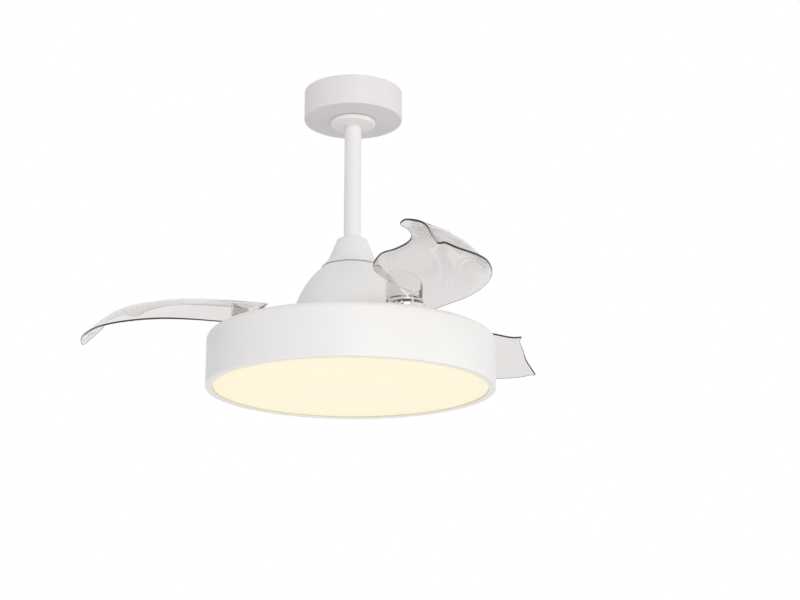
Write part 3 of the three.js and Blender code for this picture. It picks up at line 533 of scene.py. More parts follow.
# %% [markdown]
# ## Tools for joining, drilling and finishing
# Booleans join and drill pieces as a welder or a drill would, with the exact solver, which copes
# with surfaces that touch. A piece is finished when its modifiers are baked into a plain mesh and
# it rides on the body that carries the solid it stands for.

# %% Booleans, baking and riding
SCREW_HOLE = 2.3


def drop_empty_slots(mesh):
    """Removes material slots that hold nothing, and keeps each face with its finish."""
    kept = [slot for slot in mesh.materials if slot]
    places = [kept.index(slot) if slot else 0 for slot in mesh.materials]
    indices = [places[face.material_index] for face in mesh.polygons]
    mesh.materials.clear()
    for slot in kept:
        mesh.materials.append(slot)
    mesh.polygons.foreach_set("material_index", indices)


def bake(piece):
    """Turns a piece with modifiers into a plain mesh at the origin."""
    depsgraph = bpy.context.evaluated_depsgraph_get()
    mesh = bpy.data.meshes.new_from_object(piece.evaluated_get(depsgraph), depsgraph=depsgraph)
    mesh.transform(piece.matrix_world)
    if mesh.materials:
        drop_empty_slots(mesh)
    piece.modifiers.clear()
    piece.data = mesh
    piece.matrix_world = Matrix.Identity(4)
    return piece


def combine(piece, others, operation):
    """Joins, cuts or intersects a piece with others, and deletes the others."""
    for other in others:
        if not other.data.materials:
            other.data.materials.append(piece.data.materials[0])
        step = piece.modifiers.new("step", "BOOLEAN")
        step.operation = operation
        step.solver = "EXACT"
        step.material_mode = "TRANSFER"
        step.object = other
    bpy.context.view_layer.update()
    bake(piece)
    for other in others:
        bpy.data.objects.remove(other)
    return piece


def turned_copy(piece, name, degrees, centre=(0, 0)):
    """A copy of a piece, turned about an upright line through a centre given in metres."""
    mesh = piece.data.copy()
    middle = Vector((*centre, 0))
    turn = Matrix.Rotation(math.radians(degrees), 4, "Z")
    mesh.transform(Matrix.Translation(middle) @ turn @ Matrix.Translation(-middle))
    mesh.name = name
    return new_object(name, mesh, None)


def peg(radius, low, high, place, sides=48, axis="Z"):
    """A round cutter in millimetres about a place in metres, lying along an axis."""
    form = bmesh.new()
    depth = (high - low) * MM
    bmesh.ops.create_cone(form, cap_ends=True, segments=sides, radius1=radius * MM, radius2=radius * MM,
                          depth=depth)
    bmesh.ops.translate(form, verts=form.verts, vec=(0, 0, low * MM + depth / 2))
    cutter = from_form(form, "peg")
    turn = {"Z": Matrix.Identity(4), "X": Matrix.Rotation(math.radians(90), 4, "Y"),
            "Y": Matrix.Rotation(math.radians(-90), 4, "X")}[axis]
    cutter.data.transform(Matrix.Translation(place) @ turn)
    return cutter


def drill_for_screws(piece, screws, reach, z):
    """Screw holes through a piece, where the solids of the screws are."""
    for screw in screws:
        place = middle_of(screw)
        combine(piece, [peg(SCREW_HOLE, -reach, reach, (place.x, place.y, z))], "DIFFERENCE")


def settle(piece, body, slot, *nodes):
    """Puts a finished piece on its body, in place of the solids that it stands for."""
    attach(piece, body)
    if nodes:
        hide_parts(*nodes)
    return piece


# %% [markdown]
# ## Canopy and trim ring
# The canopy is a pressed steel cup that hides the bracket and the wires. Its lower edge is pressed
# nearly sharp, which shows as a crisp line in the photograph, so the corner is only a few
# millimetres. The trim ring under it hides the two screws that hold it up. Its rounded face catches
# the light, and a narrow groove above it draws the dark line against the canopy.

# %% Canopy
CANOPY_WALL = 1.5
CANOPY_CORNER = 2.5
CANOPY_MOUTH = 22
canopy_radius = radius_of("canopy_shell")
canopy_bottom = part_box("canopy_shell")[0].z / MM


def make_canopy():
    inner = canopy_radius - CANOPY_WALL
    corner = canopy_radius - CANOPY_CORNER
    corner_height = canopy_bottom + CANOPY_CORNER
    outline = [(inner, 0)]
    outline += arc(corner, corner_height, CANOPY_CORNER - CANOPY_WALL, 0, -90)
    outline += [(CANOPY_MOUTH, canopy_bottom + CANOPY_WALL), (CANOPY_MOUTH, canopy_bottom)]
    outline += arc(corner, corner_height, CANOPY_CORNER, -90, 0)
    outline += [(canopy_radius, -0.3), (canopy_radius - 0.3, 0)]
    # The canopy wears the copy of the coat with painted shade.
    return lathe("canopy", outline, canopy_painted_shade_and_rose, base=0)


canopy = make_canopy()
drill_for_screws(canopy, ("canopy_screw_left", "canopy_screw_right"), 9, canopy_bottom * MM)
settle(canopy, "fan_body", "white_paint", "canopy_shell")
print("canopy", round(2 * canopy_radius), "mm wide")

# %% Trim ring
TRIM_WALL = 1.2
TRIM_FACE = 8
TRIM_CONE = 3
TRIM_GROOVE = (2.0, 1.0)
TRIM_ROUND = 3.5
ROD_CLEARANCE = 0.6
trim_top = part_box("canopy_trim_ring")[1].z / MM
trim_radius = radius_of("canopy_trim_ring")
rod_radius = radius_of("downrod")


def make_trim_ring():
    """A rounded face and a shallow cone, with a shadow groove against the canopy."""
    depth, height = TRIM_GROOVE
    edge, mouth = trim_top - height, rod_radius + ROD_CLEARANCE
    reach, base, low = trim_radius - depth, edge - TRIM_FACE, edge - TRIM_FACE - TRIM_CONE
    seat = reach - depth
    outline = [(seat, trim_top), (seat, edge), (reach - 0.4, edge), (reach, edge - 0.4)]
    outline += arc(reach - TRIM_ROUND, base + TRIM_ROUND, TRIM_ROUND, 0, -80)
    outline += [(mouth, low), (mouth, low + TRIM_WALL), (reach - 4, base + 2), (seat - TRIM_WALL, edge),
                (seat - TRIM_WALL, trim_top)]
    # The ring wears the copy of the coat with painted light.
    return lathe("trim_ring", outline, trim_painted_light, base=0)


settle(make_trim_ring(), "fan_body", "white_paint", "canopy_trim_ring")
print("trim ring", round(2 * trim_radius), "mm wide")

# %% [markdown]
# ## Hanger ball and rod
# A ball on the rod's end sits in the bracket, so that the fan hangs plumb from a ceiling that
# isn't level. A pin through ball and rod carries the weight. Both are turned shapes, drilled
# crosswise where the pins go.

# %% Ball and rod
BALL_RADIUS = 27
BALL_FLAT = 20
ROD_WALL = 2
PIN_HOLE = 3.3


def make_ball():
    low, high = heights("hanger_ball")
    centre = high - BALL_FLAT
    bore = rod_radius + 0.3
    start = -math.degrees(math.asin((centre - low) / BALL_RADIUS))
    end = math.degrees(math.asin(BALL_FLAT / BALL_RADIUS))
    outline = [(bore, low), *arc(0, centre, BALL_RADIUS, start, end, 28), (bore, high)]
    ball = lathe("hanger_ball_turned", outline, white_plastic, base=0)
    return combine(ball, [peg(PIN_HOLE, -40, 40, (0, 0, middle_of("hanger_pin").z), axis="Y")], "DIFFERENCE")


def make_rod():
    low, high = heights("downrod")
    inner = rod_radius - ROD_WALL
    outline = [(inner, low), (rod_radius - 0.4, low), (rod_radius, low + 0.4), (rod_radius, high - 0.4),
               (rod_radius - 0.4, high), (inner, high)]
    rod = lathe("rod", outline, white_paint, sides=96, base=0)
    for pin in ("hanger_pin", "clevis_pin"):
        combine(rod, [peg(PIN_HOLE, -40, 40, (0, 0, middle_of(pin).z), axis="Y")], "DIFFERENCE")
    return rod


settle(make_ball(), "fan_body", "white_plastic", "hanger_ball")
settle(make_rod(), "fan_body", "white_paint", "downrod")
print("rod", round(2 * rod_radius), "mm thick")

# %% [markdown]
# ## The covers over coupling and motor
# A cone hides the coupling between rod and motor, and a bell hides the motor. Their outlines are
# spun from sheet, so a smooth curve through a few points describes them. The cone's foot flares out
# to a thin rim that hangs over a gap of two millimetres above the bell. The gap is the dark line
# between the two in the photograph.

# %% Smooth outline through points
def through(points, steps):
    """A smooth curve through points: a Catmull-Rom spline with even steps between them."""
    ends = [points[0], *points, points[-1]]
    curve = []
    for i in range(len(points) - 1):
        p0, p1, p2, p3 = ends[i:i + 4]
        for step in range(steps):
            t = step / steps
            curve.append(tuple(
                0.5 * (2 * b + (c - a) * t + (2 * a - 5 * b + 4 * c - d) * t ** 2
                       + (3 * b - a - 3 * c + d) * t ** 3)
                for a, b, c, d in zip(p0, p1, p2, p3)))
    return [*curve, points[-1]]


# %% Coupling cover
CAP_TOP_RADIUS = 26
CAP_ROUND = 6
CAP_WAIST = (41.5, 14)
CAP_WALL = 2
SEAM_REACH = 53
SEAM_DEPTH = 2.0


def make_coupling_cover():
    foot, top = heights("coupling_cover", DRUM_TOP)
    foot_radius = radius_of("coupling_cover")
    waist_radius, waist = CAP_WAIST[0], foot + CAP_WAIST[1]
    shoulder, crown_middle = CAP_TOP_RADIUS + 2, CAP_TOP_RADIUS + 2 - CAP_ROUND
    mouth = rod_radius + ROD_CLEARANCE
    rim = [(foot_radius - 0.5, foot), (foot_radius + 2, foot - 0.5), (SEAM_REACH - 0.3, foot - 0.6),
           (SEAM_REACH, foot - 0.2)]
    side = through([(SEAM_REACH - 0.1, foot + 0.2), (SEAM_REACH - 4, foot + 3), (foot_radius - 0.3, foot + 7),
                    (waist_radius, waist), (shoulder, top - CAP_ROUND)], 10)
    crown = arc(crown_middle, top - CAP_ROUND, CAP_ROUND, 12, 90)
    inner = [(crown_middle, top - CAP_WALL), (shoulder - CAP_WALL, top - CAP_ROUND - CAP_WALL),
             (waist_radius - CAP_WALL, waist), (foot_radius - 0.5 - CAP_WALL, foot)]
    outline = [*rim, *side, *crown, (mouth, top), (mouth, top - CAP_WALL), *inner]
    return lathe("coupling_cone", outline, white_paint)


settle(make_coupling_cover(), "fan_body", "white_paint", "coupling_cover")

# %% Motor dome
DOME_TOP_LEVEL = 128
DOME_TOP_RADIUS = 52.5
DOME_BASE = (107, 25)
DOME_WALL = 2
DOME_MOUTH = 24
DOME_OUTLINE = [(DOME_TOP_RADIUS, DOME_TOP_LEVEL - SEAM_DEPTH), (59.5, 119.5), (71, 106.5), (83.5, 88.5),
                (93, 69.5), (101.5, 47), DOME_BASE]


def make_motor_dome():
    outer = through(DOME_OUTLINE, 8)
    base_level = DOME_BASE[1]
    inner = [(radius - DOME_WALL, max(height - DOME_WALL, base_level)) for radius, height in outer[4:]]
    step = radius_of("coupling_cover")
    top, ledge = DOME_TOP_LEVEL, DOME_TOP_LEVEL - SEAM_DEPTH
    outline = [(DOME_MOUTH, top), (step, top), (step + 1, ledge), *outer, *reversed(inner),
               (step, ledge - DOME_WALL), (step - DOME_WALL, top - DOME_WALL), (DOME_MOUTH, top - DOME_WALL)]
    return lathe("motor_bell", outline, white_paint)


motor_bell = make_motor_dome()
drill_for_screws(motor_bell, ("dome_screw_left", "dome_screw_right"), 6, level(DOME_TOP_LEVEL))
settle(motor_bell, "fan_body", "white_paint", "motor_dome")
print("bell", round(2 * DOME_BASE[0]), "mm wide at its foot")

# %% [markdown]
# ## Lamp drum
# The drum is one deep-drawn shell with a soft rounded shoulder and a narrow lip turned in at the
# bottom, on which the diffuser lies. The shoulder is what draws the soft grey band along the top of
# the drum, so its radius matters more than anything else here.

# %% Drum shell
DRUM_CORNER = 11
DRUM_WALL = 2
DRUM_LIP = 12
DRUM_MOUTH = 10.3
LIP_CORNER = 1.5
drum_radius = radius_of("drum_shell")
drum_height = (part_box("drum_shell")[1].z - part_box("drum_shell")[0].z) / MM


def make_drum():
    low = -drum_height
    corner = drum_radius - DRUM_CORNER
    inner = drum_radius - DRUM_WALL
    lip = drum_radius - DRUM_LIP
    outline = [(DRUM_MOUTH, 0), *arc(corner, -DRUM_CORNER, DRUM_CORNER, 90, 0, 12)]
    outline += arc(drum_radius - LIP_CORNER, low + LIP_CORNER, LIP_CORNER, 0, -90, 6)
    outline += [(lip, low), (lip, low + DRUM_WALL), (inner, low + DRUM_WALL)]
    outline += arc(corner, -DRUM_CORNER, DRUM_CORNER - DRUM_WALL, 0, 90, 12)
    outline += [(DRUM_MOUTH, -DRUM_WALL)]
    drum = lathe("lamp_drum", outline, white_paint, sides=240)
    # The lip's faces take the paint with a painted glow.
    drum.data.materials.append(lip_painted_glow)
    for face in drum.data.polygons:
        if face.center.z < level(low + LIP_CORNER / 2):
            face.material_index = 1
    return drum


lamp_drum = make_drum()
drill_for_screws(lamp_drum, ("drum_screw_1", "drum_screw_2", "drum_screw_3"), 6, DRUM_TOP)
settle(lamp_drum, "fan_body", "white_paint", "drum_shell")
print("drum", round(2 * drum_radius), "by", round(drum_height), "mm")

# %% Diffuser
DIFFUSER_WALL = 2.5
DIFFUSER_CROWN = 2.5
diffuser_radius = radius_of("diffuser")
diffuser_top = (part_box("diffuser")[1].z - DRUM_TOP) / MM


def make_diffuser():
    low = -drum_height
    crown = [(diffuser_radius * i / 16, low + DIFFUSER_CROWN * (i / 16) ** 2) for i in range(17)]
    rim = diffuser_radius - DIFFUSER_WALL
    inner = [(radius, height + DIFFUSER_WALL) for radius, height in crown[:-1]]
    outline = [*crown, (diffuser_radius, diffuser_top), (rim, diffuser_top), *reversed(inner)]
    return lathe("diffuser_disc", outline, lit_opal, sides=240)


settle(make_diffuser(), "fan_body", "opal_acrylic", "diffuser")
print("diffuser", round(2 * diffuser_radius), "mm wide")

# %% [markdown]
# ## The lamps on their board
# Small square lamps sit in three circles on the white board behind the diffuser. They repeat, so
# Geometry Nodes places them: a circle of points carries one lamp each, turned to face outwards. The
# tree has named inputs, and ends by making the copies real, because copies that are only drawn
# don't reach the exported model.

# %% Helpers for Geometry Nodes
def new_tree(name, inputs):
    """A node tree with named inputs: pairs of a name and a socket type."""
    tree = bpy.data.node_groups.new(name, "GeometryNodeTree")
    tree.interface.new_socket(name="Geometry", in_out="INPUT", socket_type="NodeSocketGeometry")
    for label, kind in inputs:
        tree.interface.new_socket(name=label, in_out="INPUT", socket_type="NodeSocket" + kind)
    tree.interface.new_socket(name="Geometry", in_out="OUTPUT", socket_type="NodeSocketGeometry")
    return tree, tree.nodes.new("NodeGroupInput"), tree.nodes.new("NodeGroupOutput")


def run_tree(name, tree, values):
    """Runs a tree on an empty mesh with its inputs set by identifier, and bakes what it makes."""
    piece = new_object(name, bpy.data.meshes.new(name), None)
    step = piece.modifiers.new("nodes", "NODES")
    step.node_group = tree
    for item in tree.interface.items_tree:
        if item.in_out == "INPUT" and item.name in values:
            step[item.identifier] = values[item.name]
    bpy.context.view_layer.update()
    return bake(piece)


def finish_tree(tree, geometry, material, group_out):
    """Makes copies real and gives them their finish."""
    real = add_node(tree, "GeometryNodeRealizeInstances", {0: geometry})
    finish = add_node(tree, "GeometryNodeSetMaterial", {"Geometry": real.outputs[0], "Material": material})
    tree.links.new(finish.outputs[0], group_out.inputs[0])


# %% Lamps in three circles
LAMP_CIRCLES = ((100, 24), (150, 36), (200, 48))
LAMP_SIZE = (2.8, 3.5, 0.8)


def lamp_tree():
    inputs = (("Count", "Int"), ("Radius", "Float"), ("Height", "Float"))
    tree, group_in, group_out = new_tree("lamp_circle", inputs)
    given = group_in.outputs
    circle = add_node(tree, "GeometryNodeMeshCircle", {"Vertices": given["Count"], "Radius": given["Radius"]})
    chip = add_node(tree, "GeometryNodeMeshCube", {"Size": [size * MM for size in LAMP_SIZE]})
    place = add_node(tree, "GeometryNodeInputPosition").outputs[0]
    facing = add_node(tree, "FunctionNodeAlignRotationToVector", {"Vector": place}, axis="X")
    spread = add_node(tree, "GeometryNodeInstanceOnPoints",
                      {"Points": circle.outputs["Mesh"], "Instance": chip.outputs["Mesh"],
                       "Rotation": facing.outputs["Rotation"]})
    offset = add_node(tree, "ShaderNodeCombineXYZ", {"Z": given["Height"]})
    lift = add_node(tree, "GeometryNodeTransform",
                    {"Geometry": spread.outputs["Instances"], "Translation": offset.outputs[0]})
    finish_tree(tree, lift.outputs[0], phosphor, group_out)
    return tree


lamp_circle = lamp_tree()
lamp_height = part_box("led_board")[0].z - (LAMP_SIZE[2] / 2 + 0.1) * MM
for number, (radius, count) in enumerate(LAMP_CIRCLES, 1):
    lamps = run_tree(f"lamp_circle_{number}", lamp_circle,
                     {"Count": count, "Radius": radius * MM, "Height": lamp_height})
    settle(lamps, "fan_body", "white_plastic")
    print(lamps.name, "has", count, "lamps,", len(lamps.data.vertices), "corners")

# %% [markdown]
# ## Blade carrier
# A flat steel star turns with the motor just above the drum. Each point of the star carries a
# blade's pivot, and the toothed ring lies on a low round rail on it. It shows from above and through
# the clear blades, so it is built again with smooth arcs, by joining a disc, arms and round lobes.
# A pin on each lobe holds one leg of the spring that draws the blade in.

# %% Carrier
CARRIER_LEVEL = 5
CARRIER_SHEET = 3
CARRIER_RADIUS = 140
CARRIER_ARM = 60
CARRIER_LOBE = 38
CARRIER_MOUTH = 27
PIVOT_RADIUS = 182.5
FIRST_PIVOT = -60
PIVOTS = {letter: FIRST_PIVOT - 120 * i for i, letter in enumerate("abc")}
GEAR_LEVEL = 9.6
GEAR_THICKNESS = 4.4
GEAR_TOP = GEAR_LEVEL + GEAR_THICKNESS
RING_BORE = 126
RAIL_WIDTH = 6
POST_RADIUS = 6
HUB_FLANGE_LEVEL = GEAR_TOP + 6.5
SPRING_WIRE = 1.5
SPRING_RADIUS = 13.5
STOP_PIN_RADIUS = 2
STOP_PIN_REACH = 35.2
FIT = 0.3
GUIDES = (1, 2, 3)
GUIDE_PIN = 3
STOP_PIN_DROP = SPRING_RADIUS - SPRING_WIRE / 2 - FIT - STOP_PIN_RADIUS
BEVEL = 0.4
SEAT = CARRIER_LEVEL + CARRIER_SHEET + FIT


def spot(radius, degrees, height=0.0):
    """A place in metres, at a radius in millimetres and an angle about the fan's axis."""
    angle = math.radians(degrees)
    return Vector((radius * MM * math.cos(angle), radius * MM * math.sin(angle), height))


def bevelled(radius, low, high, edge=BEVEL):
    """The outline of a disc with bevelled rims."""
    return [(0, low), (radius - edge, low), (radius, low + edge), (radius, high - edge),
            (radius - edge, high), (0, high)]


def make_arm(angle):
    """One point of the star: an arm, a round lobe at its end, and the spring's stop pin."""
    low, high = CARRIER_LEVEL, CARRIER_LEVEL + CARRIER_SHEET
    start, half = CARRIER_RADIUS * 0.7, CARRIER_ARM / 2
    corners = [(start, -half), (PIVOT_RADIUS, -half), (PIVOT_RADIUS, half), (start, half)]
    arm = slab("arm", corners, level(low), level(high), white_paint)
    lobe = lathe("lobe", bevelled(CARRIER_LOBE, low, high), white_paint, 96)
    pin_top = HUB_FLANGE_LEVEL - 2 * SPRING_WIRE
    pin = lathe("pin", [(0, low), (STOP_PIN_RADIUS, low), (STOP_PIN_RADIUS, pin_top - BEVEL),
                        (STOP_PIN_RADIUS - BEVEL, pin_top), (0, pin_top)], white_paint, 24)
    pin_x = PIVOT_RADIUS + math.sqrt(STOP_PIN_REACH ** 2 - STOP_PIN_DROP ** 2)
    turn = Matrix.Rotation(math.radians(angle), 4, "Z")
    arm.data.transform(turn)
    lobe.data.transform(Matrix.Translation(spot(PIVOT_RADIUS, angle)))
    pin.data.transform(turn @ Matrix.Translation((pin_x * MM, -STOP_PIN_DROP * MM, 0)))
    return [arm, lobe, pin]


def make_carrier():
    low, high = CARRIER_LEVEL, CARRIER_LEVEL + CARRIER_SHEET
    plate = lathe("carrier_star", bevelled(CARRIER_RADIUS, low, high), white_paint)
    parts = [part for angle in PIVOTS.values() for part in make_arm(angle)]
    rail, rail_top = RING_BORE + 2, GEAR_LEVEL - FIT
    rail_outline = [(rail, low), (rail + RAIL_WIDTH, low), (rail + RAIL_WIDTH, rail_top), (rail, rail_top)]
    combine(plate, [*parts, lathe("rail", rail_outline, white_paint)], "UNION")
    cutters = [peg(CARRIER_MOUTH, -9, 9, (0, 0, level(low)), 96)]
    for angle in PIVOTS.values():
        cutters.append(peg(POST_RADIUS - 1, -9, 9, spot(PIVOT_RADIUS, angle, level(low))))
    for number in GUIDES:
        place = middle_of(f"ring_guide_{number}")
        cutters.append(peg(GUIDE_PIN + FIT, -9, 9, (place.x, place.y, level(low))))
    combine(plate, cutters, "DIFFERENCE")
    shade(plate.data)
    return plate


settle(make_carrier(), "rotor", "white_paint", "blade_carrier")
print("pivots at", PIVOT_RADIUS, "mm from the axis")

# %% Guide rollers
GUIDE_ROLLER = 8
GUIDE_FLANGE = 11


def make_guide(number):
    """A flanged roller whose top is hollowed a little round its pin."""
    root, lip = CARRIER_LEVEL - 1, GEAR_TOP + FIT
    outline = [(0, root), (GUIDE_PIN, root), (GUIDE_PIN, SEAT), (GUIDE_ROLLER, SEAT), (GUIDE_ROLLER, lip),
               *arc(GUIDE_FLANGE - 0.5, lip + 0.5, 0.5, -90, 0, 3), (GUIDE_FLANGE - 0.6, lip + 1.6),
               (3.2, lip + 1.6), (2.8, lip + 0.9), (0, lip + 0.9)]
    roller = lathe(f"guide_roller_{number}", outline, white_plastic, 64)
    place = middle_of(f"ring_guide_{number}")
    roller.data.transform(Matrix.Translation((place.x, place.y, 0)))
    return roller


for number in GUIDES:
    settle(make_guide(number), "rotor", "white_plastic", f"ring_guide_{number}")
print("three rollers carry the ring")

# %% [markdown]
# ## Toothed ring and hubs
# The ring turns inside the three toothed hubs and keeps the blades in step: when one blade swings,
# all do. The teeth are involutes, the curve that the end of a thread draws as it unwinds from a
# circle, because then they roll on each other evenly. The same formula as in the solids gives every
# flank here, with more points on it.

# %% Involute teeth
RING_TEETH = 96
HUB_TEETH = 24
PRESSURE = math.radians(20)
TOOTH_PLAY = 0.3
FOLD_ANGLE = 112
GEAR_MODULE = 2 * PIVOT_RADIUS / (RING_TEETH + HUB_TEETH)


def polar(radius, degrees):
    angle = math.radians(degrees)
    return (radius * math.cos(angle), radius * math.sin(angle))


def circle_of(radius, count):
    return [polar(radius, 360 * i / count) for i in range(count)]


def tooth_half_angle(teeth, radius):
    pitch_radius = GEAR_MODULE * teeth / 2
    lean = math.acos(min(1, pitch_radius * math.cos(PRESSURE) / radius))
    at_pitch = math.pi / (2 * teeth) - TOOTH_PLAY / (2 * pitch_radius)
    involute = math.tan(PRESSURE) - PRESSURE - (math.tan(lean) - lean)
    return math.degrees(at_pitch + involute)


def tooth(teeth, middle, steps=5):
    """One tooth's outline from its root to its tip and back."""
    pitch_radius = GEAR_MODULE * teeth / 2
    root, tip = root_radius(teeth), pitch_radius + GEAR_MODULE
    radii = [root + (tip - root) * i / steps for i in range(steps + 1)]
    flank = [(radius, tooth_half_angle(teeth, radius)) for radius in radii]
    return ([polar(radius, middle - half) for radius, half in flank]
            + [polar(radius, middle + half) for radius, half in reversed(flank)])


def root_radius(teeth):
    return GEAR_MODULE * teeth / 2 - 1.25 * GEAR_MODULE


ring_pitch = 360 / RING_TEETH
hub_pitch = 360 / HUB_TEETH
travel_teeth = math.ceil(FOLD_ANGLE / hub_pitch)
tooth_count = travel_teeth + 3
print("tooth module", round(GEAR_MODULE, 2), "mm,", travel_teeth, "teeth pass in a fold")

# %% Toothed ring
def make_ring():
    outline = []
    for pivot in sorted(PIVOTS.values()):
        for i in range(tooth_count):
            outline += tooth(RING_TEETH, pivot + (i - travel_teeth - 0.5) * ring_pitch)
        start = pivot + (tooth_count - travel_teeth) * ring_pitch
        end = pivot + 120 - (travel_teeth + 1) * ring_pitch
        outline += arc(0, 0, root_radius(RING_TEETH), start, end, 40)
    return slab("toothed_ring", outline, level(GEAR_LEVEL), level(GEAR_TOP), machined_steel,
                [circle_of(RING_BORE, 144)])


settle(make_ring(), "sync_ring", "dark_steel", "sync_ring")
print("ring has", RING_TEETH, "tooth places")

# %% Toothed hubs
HUB_COLUMN = 11
HUB_FLANGE = 27.5
HUB_FLANGE_SHEET = 3
FOOT_LEVEL = HUB_FLANGE_LEVEL + HUB_FLANGE_SHEET + FIT
FOOT_FLOOR = 3
HUB_COLUMN_TOP = FOOT_LEVEL + FOOT_FLOOR + 1.2
SPRING_HOOK = 13.5
SPRING_PEG_RADIUS = 1.5


def spring_peg():
    """The peg under the hub's flange that the spring's upper leg lies against."""
    reach = SPRING_RADIUS + SPRING_WIRE / 2 + FIT + SPRING_PEG_RADIUS
    drop = SPRING_RADIUS - SPRING_WIRE / 2 - FIT - SPRING_PEG_RADIUS
    place = (-math.sqrt(reach ** 2 - drop ** 2) * MM, -drop * MM, level(HUB_FLANGE_LEVEL))
    return peg(SPRING_PEG_RADIUS, -1.2 * SPRING_WIRE, 1, place, 24)


def make_hub():
    """The hub of a blade whose pivot stands on the fan's axis, facing along +X."""
    bore, edge = POST_RADIUS + FIT, 0.5
    outline = []
    for i in range(tooth_count):
        outline += tooth(HUB_TEETH, 180 + (i - 1) * hub_pitch)
    bare_start, bare_end = 180 + (tooth_count - 0.5) * hub_pitch, 540 - 1.5 * hub_pitch
    outline += arc(0, 0, root_radius(HUB_TEETH), bare_start, bare_end, 32)
    gear = slab("gear", outline, level(GEAR_LEVEL), level(GEAR_TOP), cast_zinc, [circle_of(bore, 32)])
    flange, flange_top = HUB_FLANGE_LEVEL, HUB_FLANGE_LEVEL + HUB_FLANGE_SHEET
    spool = lathe("hub", [(bore, SEAT), (HUB_COLUMN, SEAT), (HUB_COLUMN, flange), (HUB_FLANGE - edge, flange),
                          (HUB_FLANGE, flange + edge), (HUB_FLANGE, flange_top - edge),
                          (HUB_FLANGE - edge, flange_top), (HUB_COLUMN, flange_top),
                          (HUB_COLUMN, HUB_COLUMN_TOP - edge), (HUB_COLUMN - edge, HUB_COLUMN_TOP),
                          (bore, HUB_COLUMN_TOP)], cast_zinc, 96)
    combine(spool, [gear, spring_peg()], "UNION")
    shade(spool.data)
    return spool


def one_per_blade(pattern, name, body, slot, node="", height=None):
    """A copy of a piece for each blade, turned to it, and moved to its pivot if it has a height."""
    for letter, angle in PIVOTS.items():
        piece = turned_copy(pattern, f"{name}_{letter}", angle)
        if height is not None:
            piece.data.transform(Matrix.Translation(spot(PIVOT_RADIUS, angle, height)))
        settle(piece, body.format(letter), slot, *([f"{node}_{letter}"] if node else []))
    bpy.data.objects.remove(pattern)
    return piece


one_per_blade(make_hub(), "toothed_hub", "blade_{}", "dark_steel", "blade_hub", 0)
print("hubs:", len(PIVOTS))

# %% Posts and nuts
def make_post(letter):
    low, high = heights(f"pivot_post_{letter}", DRUM_TOP)
    shank, head, tip, edge = 4.7, POST_RADIUS + 2, 3, 0.5
    under, shoulder = CARRIER_LEVEL - FIT, next(heights(f"pivot_nut_{letter}", DRUM_TOP)) - FIT
    outline = [(0, low), (head - edge, low), (head, low + edge), (head, under), (shank, under), (shank, SEAT),
               (POST_RADIUS, SEAT), (POST_RADIUS, shoulder), (tip, shoulder), (tip, high - 0.6),
               (tip - 0.6, high), (0, high)]
    return lathe(f"post_{letter}", outline, zinc_steel, 48)


def make_nut(letter):
    """A hexagon nut with a round flange."""
    low, high = heights(f"pivot_nut_{letter}", DRUM_TOP)
    bore, flange, top = 3 + FIT, 9, low + 1.4
    flats = [polar(6, PIVOTS[letter] + 60 * i) for i in range(6)]
    nut = slab(f"nut_{letter}", flats, level(low + 1), level(high), zinc_steel, [circle_of(bore, 24)])
    skirt = [(bore, low), (flange, low), (flange, low + 0.8), (flange - 0.8, top), (bore, top)]
    combine(nut, [lathe("flange", skirt, zinc_steel, 48)], "UNION")
    shade(nut.data)
    return nut


for letter, angle in PIVOTS.items():
    for node_name, fixing in (("pivot_post", make_post(letter)), ("pivot_nut", make_nut(letter))):
        fixing.data.transform(Matrix.Translation(spot(PIVOT_RADIUS, angle)))
        settle(fixing, "rotor", "zinc_steel", f"{node_name}_{letter}")

# %% [markdown]
# ## Return springs
# A spring round each hub, under its flange, pulls the blade in when the motor stops. A spring is a
# wire that follows a path, so Geometry Nodes sweep a round section along a line. The line is a helix
# worked out by a loop: one leg runs out to the carrier's pin, the other lies against the hub's peg.

# %% Springs
SPRING_TURNS = 2
SPRING_LEG = 37


def path_object(name, points):
    data = bpy.data.curves.new(name, "CURVE")
    data.dimensions = "3D"
    spline = data.splines.new("POLY")
    spline.points.add(len(points) - 1)
    for point, place in zip(spline.points, points):
        point.co = (*place, 1)
    path = bpy.data.objects.new(name, data)
    bpy.context.scene.collection.objects.link(path)
    return path


def wire_tree(name, finish):
    inputs = (("Path", "Object"), ("Wire", "Float"), ("Sides", "Int"))
    tree, group_in, group_out = new_tree(name, inputs)
    given = group_in.outputs
    source = add_node(tree, "GeometryNodeObjectInfo", {"Object": given["Path"]})
    section = add_node(tree, "GeometryNodeCurvePrimitiveCircle",
                       {"Radius": maths(tree, "DIVIDE", given["Wire"], 2), "Resolution": given["Sides"]})
    sweep = add_node(tree, "GeometryNodeCurveToMesh",
                     {"Curve": source.outputs["Geometry"], "Profile Curve": section.outputs["Curve"],
                      "Fill Caps": True})
    smooth = add_node(tree, "GeometryNodeSetShadeSmooth", {"Geometry": sweep.outputs["Mesh"]})
    finish_tree(tree, smooth.outputs[0], finish, group_out)
    return tree


def spring_line():
    start = GEAR_TOP + FIT + SPRING_WIRE / 2
    rise = HUB_FLANGE_LEVEL - FIT - SPRING_WIRE / 2 - start
    steps = SPRING_TURNS * 32
    line = [(SPRING_LEG * (1 - i / 8), -SPRING_RADIUS, start) for i in range(8)]
    for i in range(steps + 1):
        share = i / steps
        line.append((*polar(SPRING_RADIUS, -90 - 360 * SPRING_TURNS * share), start + rise * share))
    return line + [(-SPRING_HOOK * i / 4, -SPRING_RADIUS, start + rise) for i in range(1, 5)]


